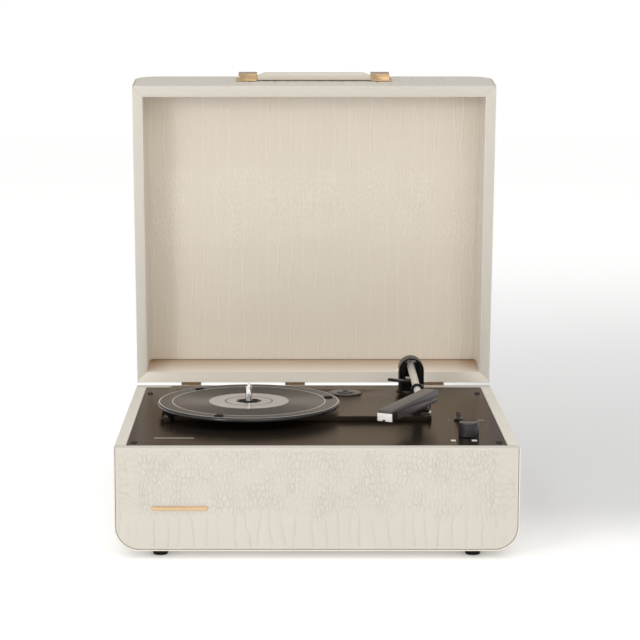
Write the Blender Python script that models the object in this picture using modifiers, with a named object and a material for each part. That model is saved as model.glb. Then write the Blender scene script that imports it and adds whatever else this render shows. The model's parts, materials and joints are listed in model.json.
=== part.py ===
"""Suitcase record player: a leatherette carrying case with a hinged lid, and a turntable on its deck.

Metres, +Z up. The case is centred on X; the origin lies on the floor under the middle of the whole
object with its lid open. +X is the player's right side and -Y its front.
"""

import math

import bmesh
import bpy
from mathutils import Matrix, Vector

MM = 0.001
GAP = 0.3 * MM

# case
CASE_W = 420 * MM
CASE_D = 356 * MM
BASE_H = 109 * MM
LID_T = 74 * MM
WALL = 12 * MM
CORNER_R = 26 * MM
LIP = 1.3 * MM
RIM_GAP = 0.6 * MM
LINER_DEPTH = 54 * MM
FOOT_H = 8.5 * MM
FOOT_X = 163.5 * MM
FOOT_Y = 156 * MM

# lid hinge
LID_OPEN = math.radians(84)
HINGE_OUT = 2.1 * MM
HINGE_UP = 0.2 * MM
KNUCKLE_R = 1.8 * MM
HINGE_LEN = 23.6 * MM
HINGE_X = (-145.4 * MM, -21.8 * MM, 143.7 * MM)

# deck
DECK_T = 2.5 * MM
DECK_RECESS = 0.8 * MM
CHASSIS_H = 6.0 * MM
CHASSIS = (-168 * MM, 127.5 * MM, -37.5 * MM, 146 * MM)

# platter
PLATTER_X = -73.6 * MM
PLATTER_Y = 9 * MM
PLATTER_R = 101.5 * MM
TIER_R = 72 * MM
MAT_TOP = 14.5 * MM
SPINDLE_R = 3.6 * MM
PAD_ANGLES = (12.7, 129.3, 250.3)
PULLEY_ANGLE = math.radians(140)
PULLEY_REACH = 86 * MM
PULLEY_R = 4.5 * MM

# tonearm
PIVOT_X = 112.3 * MM
PIVOT_Y = 110 * MM
PIN_H = 31 * MM
TUBE_R = 4.2 * MM
TUBE_START = (111.1 * MM, 104 * MM, 38.4 * MM)
TUBE_END = (113.5 * MM, -30 * MM, 27.3 * MM)
SHELL_REAR = (127.5 * MM, -22 * MM)
SHELL_YAW = math.radians(-27.9)
SHELL_LEN = 119 * MM
SHELL_W = 15.6 * MM

# controls
KNOB_X = 161.4 * MM
KNOB_Y = -114.5 * MM
KNOB_R = 11 * MM
KNOB_H = 15 * MM
SPEED_X = 157 * MM
SPEED_Y = -29 * MM
SPEED_TRAVEL = 15 * MM
ADAPTER_X = 36 * MM
ADAPTER_Y = 99 * MM

LIFT_REACH = 40 * MM
LIFT_STROKE = 3.8 * MM
LIFT_ANGLE = math.radians(-110)
LIFT_STEM_X = PIVOT_X + LIFT_REACH * math.cos(LIFT_ANGLE)
LIFT_STEM_Y = PIVOT_Y + LIFT_REACH * math.sin(LIFT_ANGLE)

# handle, measured on the closed lid's front
HANDLE_UP = 43 * MM
GRIP_LEN = 132 * MM
BRACKET_W = 21.6 * MM


def turn_in_plane(y, z, angle):
    """A point turned about X."""
    return y * math.cos(angle) - z * math.sin(angle), y * math.sin(angle) + z * math.cos(angle)


# The open lid's rearmost corner and the badge set the object's depth, which is centred on the origin.
HINGE_Y = CASE_D / 2 + HINGE_OUT
HINGE_Z = BASE_H + HINGE_UP
BADGE_T = 1.0 * MM
lid_corner = turn_in_plane(-HINGE_OUT, RIM_GAP - HINGE_UP + LID_T, -LID_OPEN)
DEPTH_MID = (HINGE_Y + lid_corner[0] - CASE_D / 2 - GAP - BADGE_T) / 2
ORIGIN = Vector((0, -DEPTH_MID, FOOT_H))
DECK_Z = BASE_H - DECK_RECESS


def clear_scene():
    for obj in list(bpy.data.objects):
        bpy.data.objects.remove(obj, do_unlink=True)


clear_scene()
player = bpy.data.collections.new("suitcase_record_player")
cutters = bpy.data.collections.new("cutters")
bpy.context.scene.collection.children.link(player)
bpy.context.scene.collection.children.link(cutters)


def material(name, rgb, roughness, metallic=0.0):
    mat = bpy.data.materials.new(name)
    mat.use_nodes = True
    shader = mat.node_tree.nodes["Principled BSDF"]
    shader.inputs["Base Color"].default_value = (*rgb, 1.0)
    shader.inputs["Roughness"].default_value = roughness
    shader.inputs["Metallic"].default_value = metallic
    return mat


CREAM = ((0.72, 0.67, 0.59), 0.55)
DECK_BLACK = ((0.022, 0.018, 0.016), 0.35)
BLACK = ((0.012, 0.011, 0.011), 0.4)
RUBBER = ((0.015, 0.015, 0.015), 0.85)
GREY_PLASTIC = ((0.07, 0.06, 0.06), 0.4)
GOLD = ((0.72, 0.47, 0.18), 0.25, 1.0)
BRONZE = ((0.16, 0.10, 0.05), 0.4, 1.0)
STEEL = ((0.62, 0.60, 0.58), 0.28, 1.0)
WOOD = ((0.45, 0.33, 0.20), 0.8)


def finish(obj, look, parent=None, smooth=True):
    """Files an object in the player's collection, gives it a look of its own and its parent."""
    for home in list(obj.users_collection):
        home.objects.unlink(obj)
    player.objects.link(obj)
    obj.data.materials.clear()
    obj.data.materials.append(material(obj.name, *look))
    if parent is not None:
        obj.parent = parent
    if smooth and obj.type == "MESH":
        obj.data.shade_smooth()
        obj.data.set_sharp_from_angle(angle=math.radians(35))
    return obj


def pivot(name, location, rotation=(0, 0, 0), parent=None):
    """An empty on a joint's axis, which carries the pieces that move together."""
    empty = bpy.data.objects.new(name, None)
    empty.location = location
    empty.rotation_euler = rotation
    empty.parent = parent
    player.objects.link(empty)
    return empty


def mesh_object(name, bm):
    mesh = bpy.data.meshes.new(name)
    bm.to_mesh(mesh)
    bm.free()
    obj = bpy.data.objects.new(name, mesh)
    player.objects.link(obj)
    return obj


def box(name, size, centre, bevel=0.0):
    """A block of the given size whose mesh is centred on the given point."""
    bm = bmesh.new()
    bmesh.ops.create_cube(bm, size=1.0)
    bmesh.ops.scale(bm, vec=size, verts=bm.verts)
    obj = mesh_object(name, bm)
    obj.location = centre
    if bevel:
        round_edges(obj, bevel)
    return obj


def round_edges(obj, width, segments=2):
    edge = obj.modifiers.new("rounding", "BEVEL")
    edge.width = width
    edge.segments = segments
    edge.limit_method = "ANGLE"
    edge.angle_limit = math.radians(40)


def rod(name, radius, length, centre, along="Z", sides=24, radius_top=None):
    """A cylinder or cone about one axis, centred on the given point."""
    bm = bmesh.new()
    top = radius if radius_top is None else radius_top
    bmesh.ops.create_cone(bm, cap_ends=True, segments=sides, radius1=radius, radius2=top, depth=length)
    obj = mesh_object(name, bm)
    obj.location = centre
    obj.rotation_euler = {"Z": (0, 0, 0), "X": (0, math.pi / 2, 0), "Y": (math.pi / 2, 0, 0)}[along]
    return obj


def turned(name, profile, centre, steps=32):
    """A lathe shape: a closed loop of (radius, height), or a chain whose two ends are on the axis."""
    bm = bmesh.new()
    points = [bm.verts.new((r, 0, z)) for r, z in profile]
    for a, b in zip(points, points[1:]):
        bm.edges.new((a, b))
    if profile[0][0] > 0:
        bm.edges.new((points[-1], points[0]))
    obj = mesh_object(name, bm)
    obj.location = centre
    lathe = obj.modifiers.new("lathe", "SCREW")
    lathe.steps = steps
    lathe.render_steps = steps
    lathe.use_merge_vertices = True
    lathe.merge_threshold = 0.00001
    return obj


FACING = {"Z": (0, 0, 0), "Y": (math.pi / 2, 0, 0), "X": (math.pi / 2, 0, math.pi / 2)}


def sheet(name, outlines, thickness, centre, facing="Z"):
    """A flat piece cut to an outline, with any further outlines as holes.

    Facing Z the outline lies in XY, facing Y in XZ and facing X in YZ; the thickness is centred.
    """
    curve = bpy.data.curves.new(name, "CURVE")
    curve.dimensions = "2D"
    curve.fill_mode = "BOTH"
    curve.extrude = thickness / 2
    for outline in outlines:
        spline = curve.splines.new("POLY")
        spline.points.add(len(outline) - 1)
        for point, (x, y) in zip(spline.points, outline):
            point.co = (x, y, 0, 1)
        spline.use_cyclic_u = True
    flat = bpy.data.objects.new(name + "_curve", curve)
    player.objects.link(flat)
    bpy.context.view_layer.update()
    mesh = bpy.data.meshes.new_from_object(flat.evaluated_get(bpy.context.evaluated_depsgraph_get()))
    bpy.data.objects.remove(flat, do_unlink=True)
    bm = bmesh.new()
    bm.from_mesh(mesh)
    bmesh.ops.remove_doubles(bm, verts=bm.verts, dist=0.00001)
    bmesh.ops.recalc_face_normals(bm, faces=bm.faces)
    obj = mesh_object(name, bm)
    bpy.data.meshes.remove(mesh)
    obj.location = centre
    obj.rotation_euler = FACING[facing]
    return obj


def cut(obj, *tools):
    """Takes each tool out of the object; a tool stays as a hidden cutter."""
    return combine(obj, tools, "DIFFERENCE")


def add(obj, *tools):
    """Joins each tool to the object as one body."""
    return combine(obj, tools, "UNION")


def combine(obj, tools, operation):
    for tool in tools:
        tool.name = "cutter_" + tool.name
        for home in list(tool.users_collection):
            home.objects.unlink(tool)
        cutters.objects.link(tool)
        tool.hide_render = True
        tool.display_type = "WIRE"
        if obj.parent is not None and tool.parent is None:
            tool.parent = obj.parent
        step = obj.modifiers.new(operation.lower(), "BOOLEAN")
        step.operation = operation
        step.solver = "EXACT"
        step.object = tool
    return obj


def arc(cx, cy, radius, start, end, count):
    """Points of a circular arc, ends included, angles in degrees."""
    return [
        (cx + radius * math.cos(math.radians(a)), cy + radius * math.sin(math.radians(a)))
        for a in (start + (end - start) * i / count for i in range(count + 1))
    ]


def rectangle(x0, x1, y0, y1, radius=0.0, count=4):
    if not radius:
        return [(x0, y0), (x1, y0), (x1, y1), (x0, y1)]
    return (
        arc(x1 - radius, y0 + radius, radius, -90, 0, count)
        + arc(x1 - radius, y1 - radius, radius, 0, 90, count)
        + arc(x0 + radius, y1 - radius, radius, 90, 180, count)
        + arc(x0 + radius, y0 + radius, radius, 180, 270, count)
    )


def circle(cx, cy, radius, count=24):
    return arc(cx, cy, radius, 0, 360 - 360 / count, count - 1)


# ---------------------------------------------------------------- case shells
CURVE_SIDES = 7


def shell_outline(height, inset, open_by=0.0):
    """Half-open box section seen from the front: two walls, a floor and two rounded corners.

    The floor is at 0 and the open edge at the height given, raised by open_by for a cutter.
    """
    half = CASE_W / 2 - inset
    radius = CORNER_R - inset
    return (
        [(-half, height + open_by)]
        + arc(-half + radius, inset + radius, radius, 180, 270, CURVE_SIDES)
        + arc(half - radius, inset + radius, radius, 270, 360, CURVE_SIDES)
        + [(half, height + open_by)]
    )


def case_band(name, height, parent):
    """The wrap-around wall of one half of the case, thinned to a lip at each end for the end panels."""
    outer = shell_outline(height, 0)
    inner = shell_outline(height, WALL)
    band = sheet(name, [outer + inner[::-1]], CASE_D, (0, 0, 0), "Y")
    band.parent = parent
    for side in (-1, 1):
        depth = WALL + 2 * GAP
        pocket = sheet(
            f"{name}_rebate_{side}",
            [shell_outline(height, LIP, open_by=5 * MM)],
            depth,
            (0, side * (CASE_D / 2 - depth / 2 + GAP / 2), 0),
            "Y",
        )
        cut(band, pocket)
    return band


def end_panel(name, height, side, parent):
    """A flat board that closes one end of a band, inside its lip."""
    outline = shell_outline(height, LIP + GAP)
    panel = sheet(name, [outline], WALL, (0, side * (CASE_D / 2 - WALL / 2), 0), "Y")
    panel.parent = parent
    return panel


base = pivot("base_origin", ORIGIN)

base_band = case_band("base_band", BASE_H, base)
SPEAKER_X = 95 * MM
SPEAKER_Y = 40 * MM
for side in (-1, 1):
    hole = rod(f"speaker_hole_{side}", 31 * MM, 40 * MM, (side * SPEAKER_X, -70 * MM, 6 * MM), sides=28)
    cut(base_band, hole)
finish(base_band, CREAM)

front_panel = finish(end_panel("base_front_panel", BASE_H, -1, base), CREAM)
back_panel = end_panel("base_back_panel", BASE_H, 1, base)
JACK_X = -120 * MM
JACK_Z = 52 * MM
cut(back_panel, box("jack_window", (62 * MM, 40 * MM, 30 * MM), (JACK_X, CASE_D / 2, JACK_Z)))
finish(back_panel, CREAM)

# ---------------------------------------------------------------- deck
inner_x = CASE_W / 2 - WALL - 0.4 * MM
inner_y = CASE_D / 2 - WALL - 0.4 * MM
CLEAT = 14 * MM
CLEAT_H = 13 * MM
cleat_top = DECK_Z - DECK_T - GAP
deck_frame = sheet(
    "deck_frame",
    [
        rectangle(-inner_x, inner_x, -inner_y, inner_y),
        rectangle(-inner_x + CLEAT, inner_x - CLEAT, -inner_y + CLEAT, inner_y - CLEAT),
    ],
    CLEAT_H,
    (0, 0, cleat_top - CLEAT_H / 2),
)
deck_frame.parent = base

deck_plate = sheet(
    "deck_plate",
    [
        rectangle(-inner_x, inner_x, -inner_y, inner_y),
        rectangle(-160 * MM, 100 * MM, -24 * MM, 130 * MM, 8 * MM),
        circle(KNOB_X, KNOB_Y, 4.2 * MM, 16),
        rectangle(SPEED_X - 4 * MM, SPEED_X + SPEED_TRAVEL + 4 * MM, SPEED_Y - 1.8 * MM, SPEED_Y + 1.8 * MM),
    ],
    DECK_T,
    (0, 0, DECK_Z - DECK_T / 2),
)
deck_plate.parent = base

SCREWS = {
    "deck_screw_front_left": (-191 * MM, -144 * MM),
    "deck_screw_back_left": (-191 * MM, 127.5 * MM),
    "deck_screw_front_right": (191 * MM, -144 * MM),
    "deck_screw_back_right": (191 * MM, 127.5 * MM),
}


def pan_head_screw(name, x, y, seat):
    """A pan head with its plain shank, standing on the seat."""
    profile = [
        (0, 2.1 * MM),
        (1.9 * MM, 1.9 * MM),
        (3.1 * MM, 1.2 * MM),
        (3.5 * MM, 0.2 * MM),
        (1.5 * MM, 0.2 * MM),
        (1.5 * MM, -12 * MM),
        (0, -12 * MM),
    ]
    screw = turned(name, profile, (x, y, seat), steps=14)
    screw.parent = base
    return finish(screw, BLACK)


for screw_name, (sx, sy) in SCREWS.items():
    for holed in (deck_frame, deck_plate):
        cut(holed, rod(screw_name + "_bore", 1.9 * MM, 40 * MM, (sx, sy, DECK_Z - 4 * MM), sides=12))
    pan_head_screw(screw_name, sx, sy, DECK_Z)
finish(deck_frame, WOOD)
finish(deck_plate, DECK_BLACK)

# Raised turntable chassis: a pressed tray that sits over the opening in the deck.
x0, x1, y0, y1 = CHASSIS
EAR_X = -162.3 * MM
EAR_Y = -41 * MM
EAR_R = 6.5 * MM
chassis_outline = (
    arc(EAR_X, EAR_Y, EAR_R, 180, 350, 6)
    + [(EAR_X + EAR_R + 1 * MM, y0)]
    + arc(x1 - 6 * MM, y0 + 6 * MM, 6 * MM, -90, 0, 4)
    + arc(x1 - 8 * MM, y1 - 8 * MM, 8 * MM, 0, 90, 4)
    + arc(x0 + 8 * MM, y1 - 8 * MM, 8 * MM, 90, 180, 4)
)
chassis_height = CHASSIS_H - GAP
chassis = sheet(
    "turntable_chassis", [chassis_outline], chassis_height, (0, 0, DECK_Z + GAP + chassis_height / 2)
)
chassis.parent = base
PULLEY_X = PLATTER_X + PULLEY_REACH * math.cos(PULLEY_ANGLE)
PULLEY_Y = PLATTER_Y + PULLEY_REACH * math.sin(PULLEY_ANGLE)
hollow_depth = 3.9 * MM
cut(
    chassis,
    box(
        "chassis_hollow",
        (x1 - x0 - 24 * MM, y1 - y0 - 24 * MM, hollow_depth + GAP),
        ((x0 + x1) / 2, (y0 + y1) / 2, DECK_Z + (hollow_depth + GAP) / 2),
    ),
    rod("bearing_bore", 8.4 * MM, 30 * MM, (PLATTER_X, PLATTER_Y, DECK_Z + 6 * MM), sides=24),
    rod("pulley_bore", 6.5 * MM, 30 * MM, (PULLEY_X, PULLEY_Y, DECK_Z + 6 * MM), sides=20),
    rod("adapter_well", 19.6 * MM, 3 * MM, (ADAPTER_X, ADAPTER_Y, DECK_Z + CHASSIS_H + 0.3 * MM), sides=40),
    rod("ear_bore", 1.9 * MM, 30 * MM, (EAR_X, EAR_Y, DECK_Z + 4 * MM), sides=12),
    rod("lift_bore", 2.2 * MM, 30 * MM, (LIFT_STEM_X, LIFT_STEM_Y, DECK_Z + 6 * MM), sides=14),
    rod("right_bore", 1.9 * MM, 30 * MM, (119.5 * MM, -27 * MM, DECK_Z + 4 * MM), sides=12),
)
for spot_x, spot_y in ((EAR_X, EAR_Y), (119.5 * MM, -27 * MM)):
    cut(deck_plate, rod("chassis_screw_bore", 1.9 * MM, 20 * MM, (spot_x, spot_y, DECK_Z), sides=12))
pivot_boss = turned(
    "pivot_boss",
    [
        (0, 9.0 * MM),
        (15.5 * MM, 9.0 * MM),
        (16.8 * MM, 7.6 * MM),
        (16.8 * MM, CHASSIS_H - 1 * MM),
        (0, CHASSIS_H - 1 * MM),
    ],
    (PIVOT_X, PIVOT_Y, DECK_Z),
    steps=28,
)
add(chassis, pivot_boss)
finish(chassis, DECK_BLACK)
pan_head_screw("chassis_screw_left", EAR_X, EAR_Y, DECK_Z + CHASSIS_H)
pan_head_screw("chassis_screw_right", 119.5 * MM, -27 * MM, DECK_Z + CHASSIS_H)

# ---------------------------------------------------------------- platter and drive
platter_axis = pivot("platter_axis", (PLATTER_X, PLATTER_Y, DECK_Z), parent=base)
RIM_TOP = 13.7 * MM
platter = turned(
    "platter",
    [
        (SPINDLE_R + GAP, RIM_TOP),
        (PLATTER_R - 0.6 * MM, RIM_TOP),
        (PLATTER_R, RIM_TOP - 0.6 * MM),
        (PLATTER_R, RIM_TOP - 3.4 * MM),
        (PLATTER_R - 2.2 * MM, RIM_TOP - 3.4 * MM),
        (PLATTER_R - 2.2 * MM, RIM_TOP - 2.2 * MM),
        (TIER_R, RIM_TOP - 2.2 * MM),
        (TIER_R, 7.0 * MM),
        (TIER_R - 2.5 * MM, 7.0 * MM),
        (TIER_R - 2.5 * MM, RIM_TOP - 2.2 * MM),
        (12 * MM, RIM_TOP - 2.2 * MM),
        (12 * MM, 7.4 * MM),
        (SPINDLE_R + GAP, 7.4 * MM),
    ],
    (0, 0, 0),
    steps=64,
)
platter.parent = platter_axis
finish(platter, BLACK)

mat_bottom = RIM_TOP + GAP
mat_piece = turned(
    "platter_mat",
    [
        (SPINDLE_R + GAP, MAT_TOP),
        (PLATTER_R - 1.2 * MM, MAT_TOP),
        (PLATTER_R - 1.2 * MM, mat_bottom),
        (SPINDLE_R + GAP, mat_bottom),
    ],
    (0, 0, 0),
    steps=64,
)
mat_piece.parent = platter_axis
PAD_REACH = 0.895 * PLATTER_R
for number, angle in enumerate(PAD_ANGLES, 1):
    px = PAD_REACH * math.cos(math.radians(angle))
    py = PAD_REACH * math.sin(math.radians(angle))
    cut(mat_piece, rod(f"pad_hole_{number}", 5.7 * MM, 6 * MM, (px, py, MAT_TOP), sides=20))
    pad = turned(
        f"rubber_pad_{number}",
        [
            (0, 15.7 * MM),
            (3.8 * MM, 15.7 * MM),
            (5.3 * MM, 15.1 * MM),
            (5.3 * MM, mat_bottom),
            (0, mat_bottom),
        ],
        (px, py, 0),
        steps=20,
    )
    pad.parent = platter_axis
    finish(pad, RUBBER)
finish(mat_piece, BLACK)

spindle = turned(
    "spindle",
    [
        (0, 34 * MM),
        (1.6 * MM, 33.5 * MM),
        (2.9 * MM, 32.2 * MM),
        (SPINDLE_R, 30 * MM),
        (SPINDLE_R, -8.8 * MM),
        (0, -9.6 * MM),
    ],
    (0, 0, 0),
    steps=24,
)
spindle.parent = platter_axis
finish(spindle, STEEL)

bush = turned(
    "spindle_bearing",
    [
        (SPINDLE_R + GAP, 6.9 * MM),
        (8 * MM, 6.9 * MM),
        (8 * MM, -13 * MM),
        (0.8 * MM, -13 * MM),
        (0.8 * MM, -9.9 * MM),
        (SPINDLE_R + GAP, -9.9 * MM),
    ],
    (PLATTER_X, PLATTER_Y, DECK_Z),
    steps=24,
)
bush.parent = base
finish(bush, STEEL)

pulley_axis = pivot("pulley_axis", (PULLEY_X, PULLEY_Y, DECK_Z), parent=base)
pulley = turned(
    "motor_pulley",
    [
        (0, 11.0 * MM),
        (PULLEY_R + 0.8 * MM, 11.0 * MM),
        (PULLEY_R + 0.8 * MM, 10.5 * MM),
        (PULLEY_R, 10.3 * MM),
        (PULLEY_R, 7.2 * MM),
        (PULLEY_R + 0.8 * MM, 7.0 * MM),
        (PULLEY_R + 0.8 * MM, 6.5 * MM),
        (1.0 * MM, 6.5 * MM),
        (1.0 * MM, 0),
        (0, 0),
    ],
    (0, 0, 0),
    steps=24,
)
pulley.parent = pulley_axis
finish(pulley, STEEL)

motor = turned(
    "motor",
    [
        (1.3 * MM, 3.4 * MM),
        (14.5 * MM, 3.4 * MM),
        (15.4 * MM, 2.6 * MM),
        (15.4 * MM, -20 * MM),
        (4 * MM, -20 * MM),
        (4 * MM, -23 * MM),
        (0.5 * MM, -23 * MM),
        (0.5 * MM, -1 * MM),
        (1.3 * MM, -1 * MM),
    ],
    (PULLEY_X, PULLEY_Y, DECK_Z),
    steps=28,
)
motor.parent = base
finish(motor, STEEL)


# ---------------------------------------------------------------- tonearm
swing_axis = pivot("tonearm_swing_axis", (PIVOT_X, PIVOT_Y, DECK_Z), parent=base)
YOKE_D = 24 * MM
YOKE_R = 14.4 * MM
YOKE_TOP = 46.6 * MM
yoke_bottom = 9.0 * MM + GAP
yoke = sheet(
    "tonearm_yoke",
    [[(-YOKE_R, yoke_bottom), (YOKE_R, yoke_bottom)] + arc(0, YOKE_TOP - YOKE_R, YOKE_R, 0, 180, 16)],
    YOKE_D,
    (0, 0, 0),
    "Y",
)
yoke.parent = swing_axis
cut(
    yoke,
    box("yoke_slot", (13.2 * MM, 40 * MM, 23 * MM), (0, 0, 31.5 * MM)),
    box("yoke_slot_top", (9.4 * MM, 42 * MM, 4 * MM), (0, 0, 42.5 * MM)),
    rod("yoke_bore", 2.3 * MM, 60 * MM, (0, 0, PIN_H), along="X", sides=16),
)
finish(yoke, BLACK)

pin = rod("tonearm_pivot_pin", 2.0 * MM, 2 * YOKE_R + 0.8 * MM, (0, 0, PIN_H), along="X", sides=16)
pin.parent = swing_axis
finish(pin, STEEL)

lift_axis = pivot("tonearm_lift_axis", (0, 0, PIN_H), parent=swing_axis)
LIFT_WORLD = Vector((PIVOT_X, PIVOT_Y, PIN_H))


def arm_local(x, y, z):
    """A point of the deck plane's coordinates, measured from the lift axis."""
    return (x - LIFT_WORLD.x, y - LIFT_WORLD.y, z - LIFT_WORLD.z)


def arm_rod(name, start, end, radius, sides=20):
    """A straight round bar between two points of the arm."""
    a = Vector(arm_local(*start))
    b = Vector(arm_local(*end))
    bar = rod(name, radius, (b - a).length, (a + b) / 2, sides=sides)
    bar.rotation_euler = (b - a).to_track_quat("Z", "Y").to_euler()
    bar.parent = lift_axis
    return bar


tube = arm_rod("tonearm_tube", TUBE_START, TUBE_END, TUBE_R)
block = box("pivot_block", (12.4 * MM, 21 * MM, 16 * MM), (0, 1.5 * MM, 1.5 * MM))
block.parent = lift_axis
add(tube, block)
tube_bore = rod("pin_bore", 2.3 * MM, 40 * MM, (0, 0, 0), along="X", sides=16)
tube_bore.parent = lift_axis
cut(tube, tube_bore)
finish(tube, STEEL)


def along_tube(t):
    return tuple(a + (b - a) * t for a, b in zip(TUBE_START, TUBE_END))


ring = arm_rod("tube_collar", along_tube(0.782), along_tube(0.808), 6.4 * MM, sides=24)
ring_bore = arm_rod("tube_collar_bore", along_tube(0.74), along_tube(0.84), TUBE_R + 0.25 * MM, sides=20)
cut(ring, ring_bore)
finish(ring, BLACK)

shell_frame = pivot(
    "headshell_frame",
    arm_local(SHELL_REAR[0], SHELL_REAR[1], 0),
    (0, 0, SHELL_YAW),
    parent=lift_axis,
)
shell_side = [
    (0, 25.5 * MM),
    (0, 33.2 * MM),
    (-6 * MM, 34 * MM),
    (-62 * MM, 32 * MM),
    (-SHELL_LEN + 3 * MM, 30.4 * MM),
    (-SHELL_LEN, 29.4 * MM),
    (-SHELL_LEN, 27.4 * MM),
    (-SHELL_LEN + 13 * MM, 27.4 * MM),
    (-SHELL_LEN + 15 * MM, 19.6 * MM),
    (-SHELL_LEN + 22 * MM, 18.8 * MM),
    (-34 * MM, 18.8 * MM),
    (-3 * MM, 20.4 * MM),
    (-1 * MM, 23.9 * MM),
    (-22 * MM, 24.1 * MM),
    (-24 * MM, 24.8 * MM),
    (-22 * MM, 25.5 * MM),
]
headshell = sheet("headshell", [shell_side], SHELL_W, (0, 0, 0), "X")
headshell.parent = shell_frame
shell_bore = arm_rod("headshell_bore", along_tube(0.6), along_tube(1.02), TUBE_R + 0.3 * MM, sides=20)
cut(headshell, shell_bore)
finish(headshell, GREY_PLASTIC)

cartridge = sheet(
    "cartridge",
    [
        [
            (-SHELL_LEN - 0.4 * MM, 18.4 * MM),
            (-SHELL_LEN + 12.4 * MM, 19.4 * MM),
            (-SHELL_LEN + 12.4 * MM, 27.1 * MM),
            (-SHELL_LEN - 0.8 * MM, 27.1 * MM),
        ]
    ],
    SHELL_W + 1.4 * MM,
    (0, 0, 0),
    "X",
)
cartridge.parent = shell_frame
cut(
    cartridge,
    box("stylus_groove", (3.4 * MM, 11 * MM, 3 * MM), (-1 * MM, -SHELL_LEN + 2 * MM, 18.4 * MM)),
)
finish(cartridge, ((0.83, 0.76, 0.76), 0.4))

stylus_centre = (-1 * MM, -SHELL_LEN + 1.2 * MM, 17.7 * MM)
stylus = rod("stylus", 0.25 * MM, 3.2 * MM, stylus_centre, sides=10, radius_top=1.1 * MM)
stylus.parent = shell_frame
finish(stylus, STEEL)

# Arm rest: a post with a saddle under the tube and a stop on its outer side.
REST_T = 0.80
rest_x, rest_y, rest_z = along_tube(REST_T)
rest_y += 9 * MM
saddle = rest_z + 0.75 * MM - TUBE_R - 0.6 * MM
arm_rest = sheet(
    "arm_rest",
    [
        [
            (rest_x - 5 * MM, CHASSIS_H + GAP),
            (rest_x + 9 * MM, CHASSIS_H + GAP),
            (rest_x + 9 * MM, 10 * MM),
            (rest_x + 7.4 * MM, 13 * MM),
            (rest_x + 7.4 * MM, rest_z + 3 * MM),
            (rest_x + 4.9 * MM, rest_z + 3 * MM),
            (rest_x + 4.9 * MM, saddle),
            (rest_x - 4 * MM, saddle),
            (rest_x - 4 * MM, 13 * MM),
            (rest_x - 5 * MM, 10 * MM),
        ]
    ],
    7 * MM,
    (0, rest_y, DECK_Z),
    "Y",
)
arm_rest.parent = base

# The same moulding carries the cue lever's bracket, and the lift bar that it raises under the tube.
CUE_X = 125.4 * MM
CUE_Y = -5 * MM
CUE_Z = 9.9 * MM
add(
    arm_rest,
    box("rest_foot", (20 * MM, 19 * MM, 1.8 * MM), (117 * MM, 0, DECK_Z + CHASSIS_H + GAP + 0.9 * MM)),
    box("cue_bracket", (4.6 * MM, 9 * MM, 7.0 * MM), (CUE_X, CUE_Y, DECK_Z + CHASSIS_H + GAP + 3.5 * MM)),
)
cut(
    arm_rest,
    box("cue_slot", (2.9 * MM, 12 * MM, 9 * MM), (CUE_X, CUE_Y, DECK_Z + CUE_Z + 2.2 * MM)),
    rod("cue_bore", 1.1 * MM, 20 * MM, (CUE_X, CUE_Y, DECK_Z + CUE_Z), along="X", sides=12),
)
finish(arm_rest, BLACK)
cue_axis = pivot("cue_lever_axis", (CUE_X, CUE_Y, DECK_Z + CUE_Z), parent=base)
cue_lever = rod("cue_lever", 1.1 * MM, 32 * MM, (0, -15 * MM, 0), along="Y", sides=14)
cue_lever.parent = cue_axis
cue_pin = rod("cue_pin", 0.8 * MM, 4.4 * MM, (0, 0, 0), along="X", sides=12)
cue_pin.parent = cue_axis
cue_tip = rod("cue_tip", 1.9 * MM, 5 * MM, (0, -31.5 * MM, 0), along="Y", sides=14)
cue_tip.parent = cue_axis
add(cue_lever, cue_pin, cue_tip)
finish(cue_lever, STEEL)

tube_at_lift = TUBE_START[2] + (TUBE_END[2] - TUBE_START[2]) * (PIVOT_Y - LIFT_REACH - TUBE_START[1]) / (
    TUBE_END[1] - TUBE_START[1]
)
bar_top = tube_at_lift - TUBE_R - 0.55 * MM - LIFT_STROKE
lift_pad = sheet(
    "lift_bar",
    [arc(0, 0, LIFT_REACH + 2.5 * MM, -132, -84, 10) + arc(0, 0, LIFT_REACH - 2.5 * MM, -84, -132, 10)],
    3 * MM,
    (PIVOT_X, PIVOT_Y, DECK_Z + bar_top - 1.5 * MM),
)
lift_pad.parent = base
stem_bottom = CHASSIS_H - 4 * MM
add(
    lift_pad,
    rod(
        "lift_stem",
        1.8 * MM,
        bar_top - 1 * MM - stem_bottom,
        (LIFT_STEM_X, LIFT_STEM_Y, DECK_Z + (bar_top - 1 * MM + stem_bottom) / 2),
        sides=14,
    ),
)
finish(lift_pad, BLACK)
# ---------------------------------------------------------------- controls
knob_axis = pivot("volume_knob_axis", (KNOB_X, KNOB_Y, DECK_Z), parent=base)
knob = turned(
    "volume_knob",
    [
        (0, KNOB_H + 0.6 * MM),
        (KNOB_R - 1.2 * MM, KNOB_H + 0.6 * MM),
        (KNOB_R - 0.2 * MM, KNOB_H - 0.2 * MM),
        (KNOB_R, 0.8 * MM),
        (3.0 * MM, 0.8 * MM),
        (3.0 * MM, -12 * MM),
        (0, -12 * MM),
    ],
    (0, 0, 0),
    steps=32,
)
knob.parent = knob_axis
cut(knob, box("knob_mark", (0.9 * MM, 7 * MM, 1 * MM), (0, 6.5 * MM, KNOB_H + 0.6 * MM)))
finish(knob, BLACK)
pot = turned(
    "volume_pot",
    [
        (3.3 * MM, -2.9 * MM),
        (8.5 * MM, -2.9 * MM),
        (8.5 * MM, -16 * MM),
        (0.6 * MM, -16 * MM),
        (0.6 * MM, -12.4 * MM),
        (3.3 * MM, -12.4 * MM),
    ],
    (KNOB_X, KNOB_Y, DECK_Z),
    steps=20,
)
pot.parent = base
finish(pot, STEEL)

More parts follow.
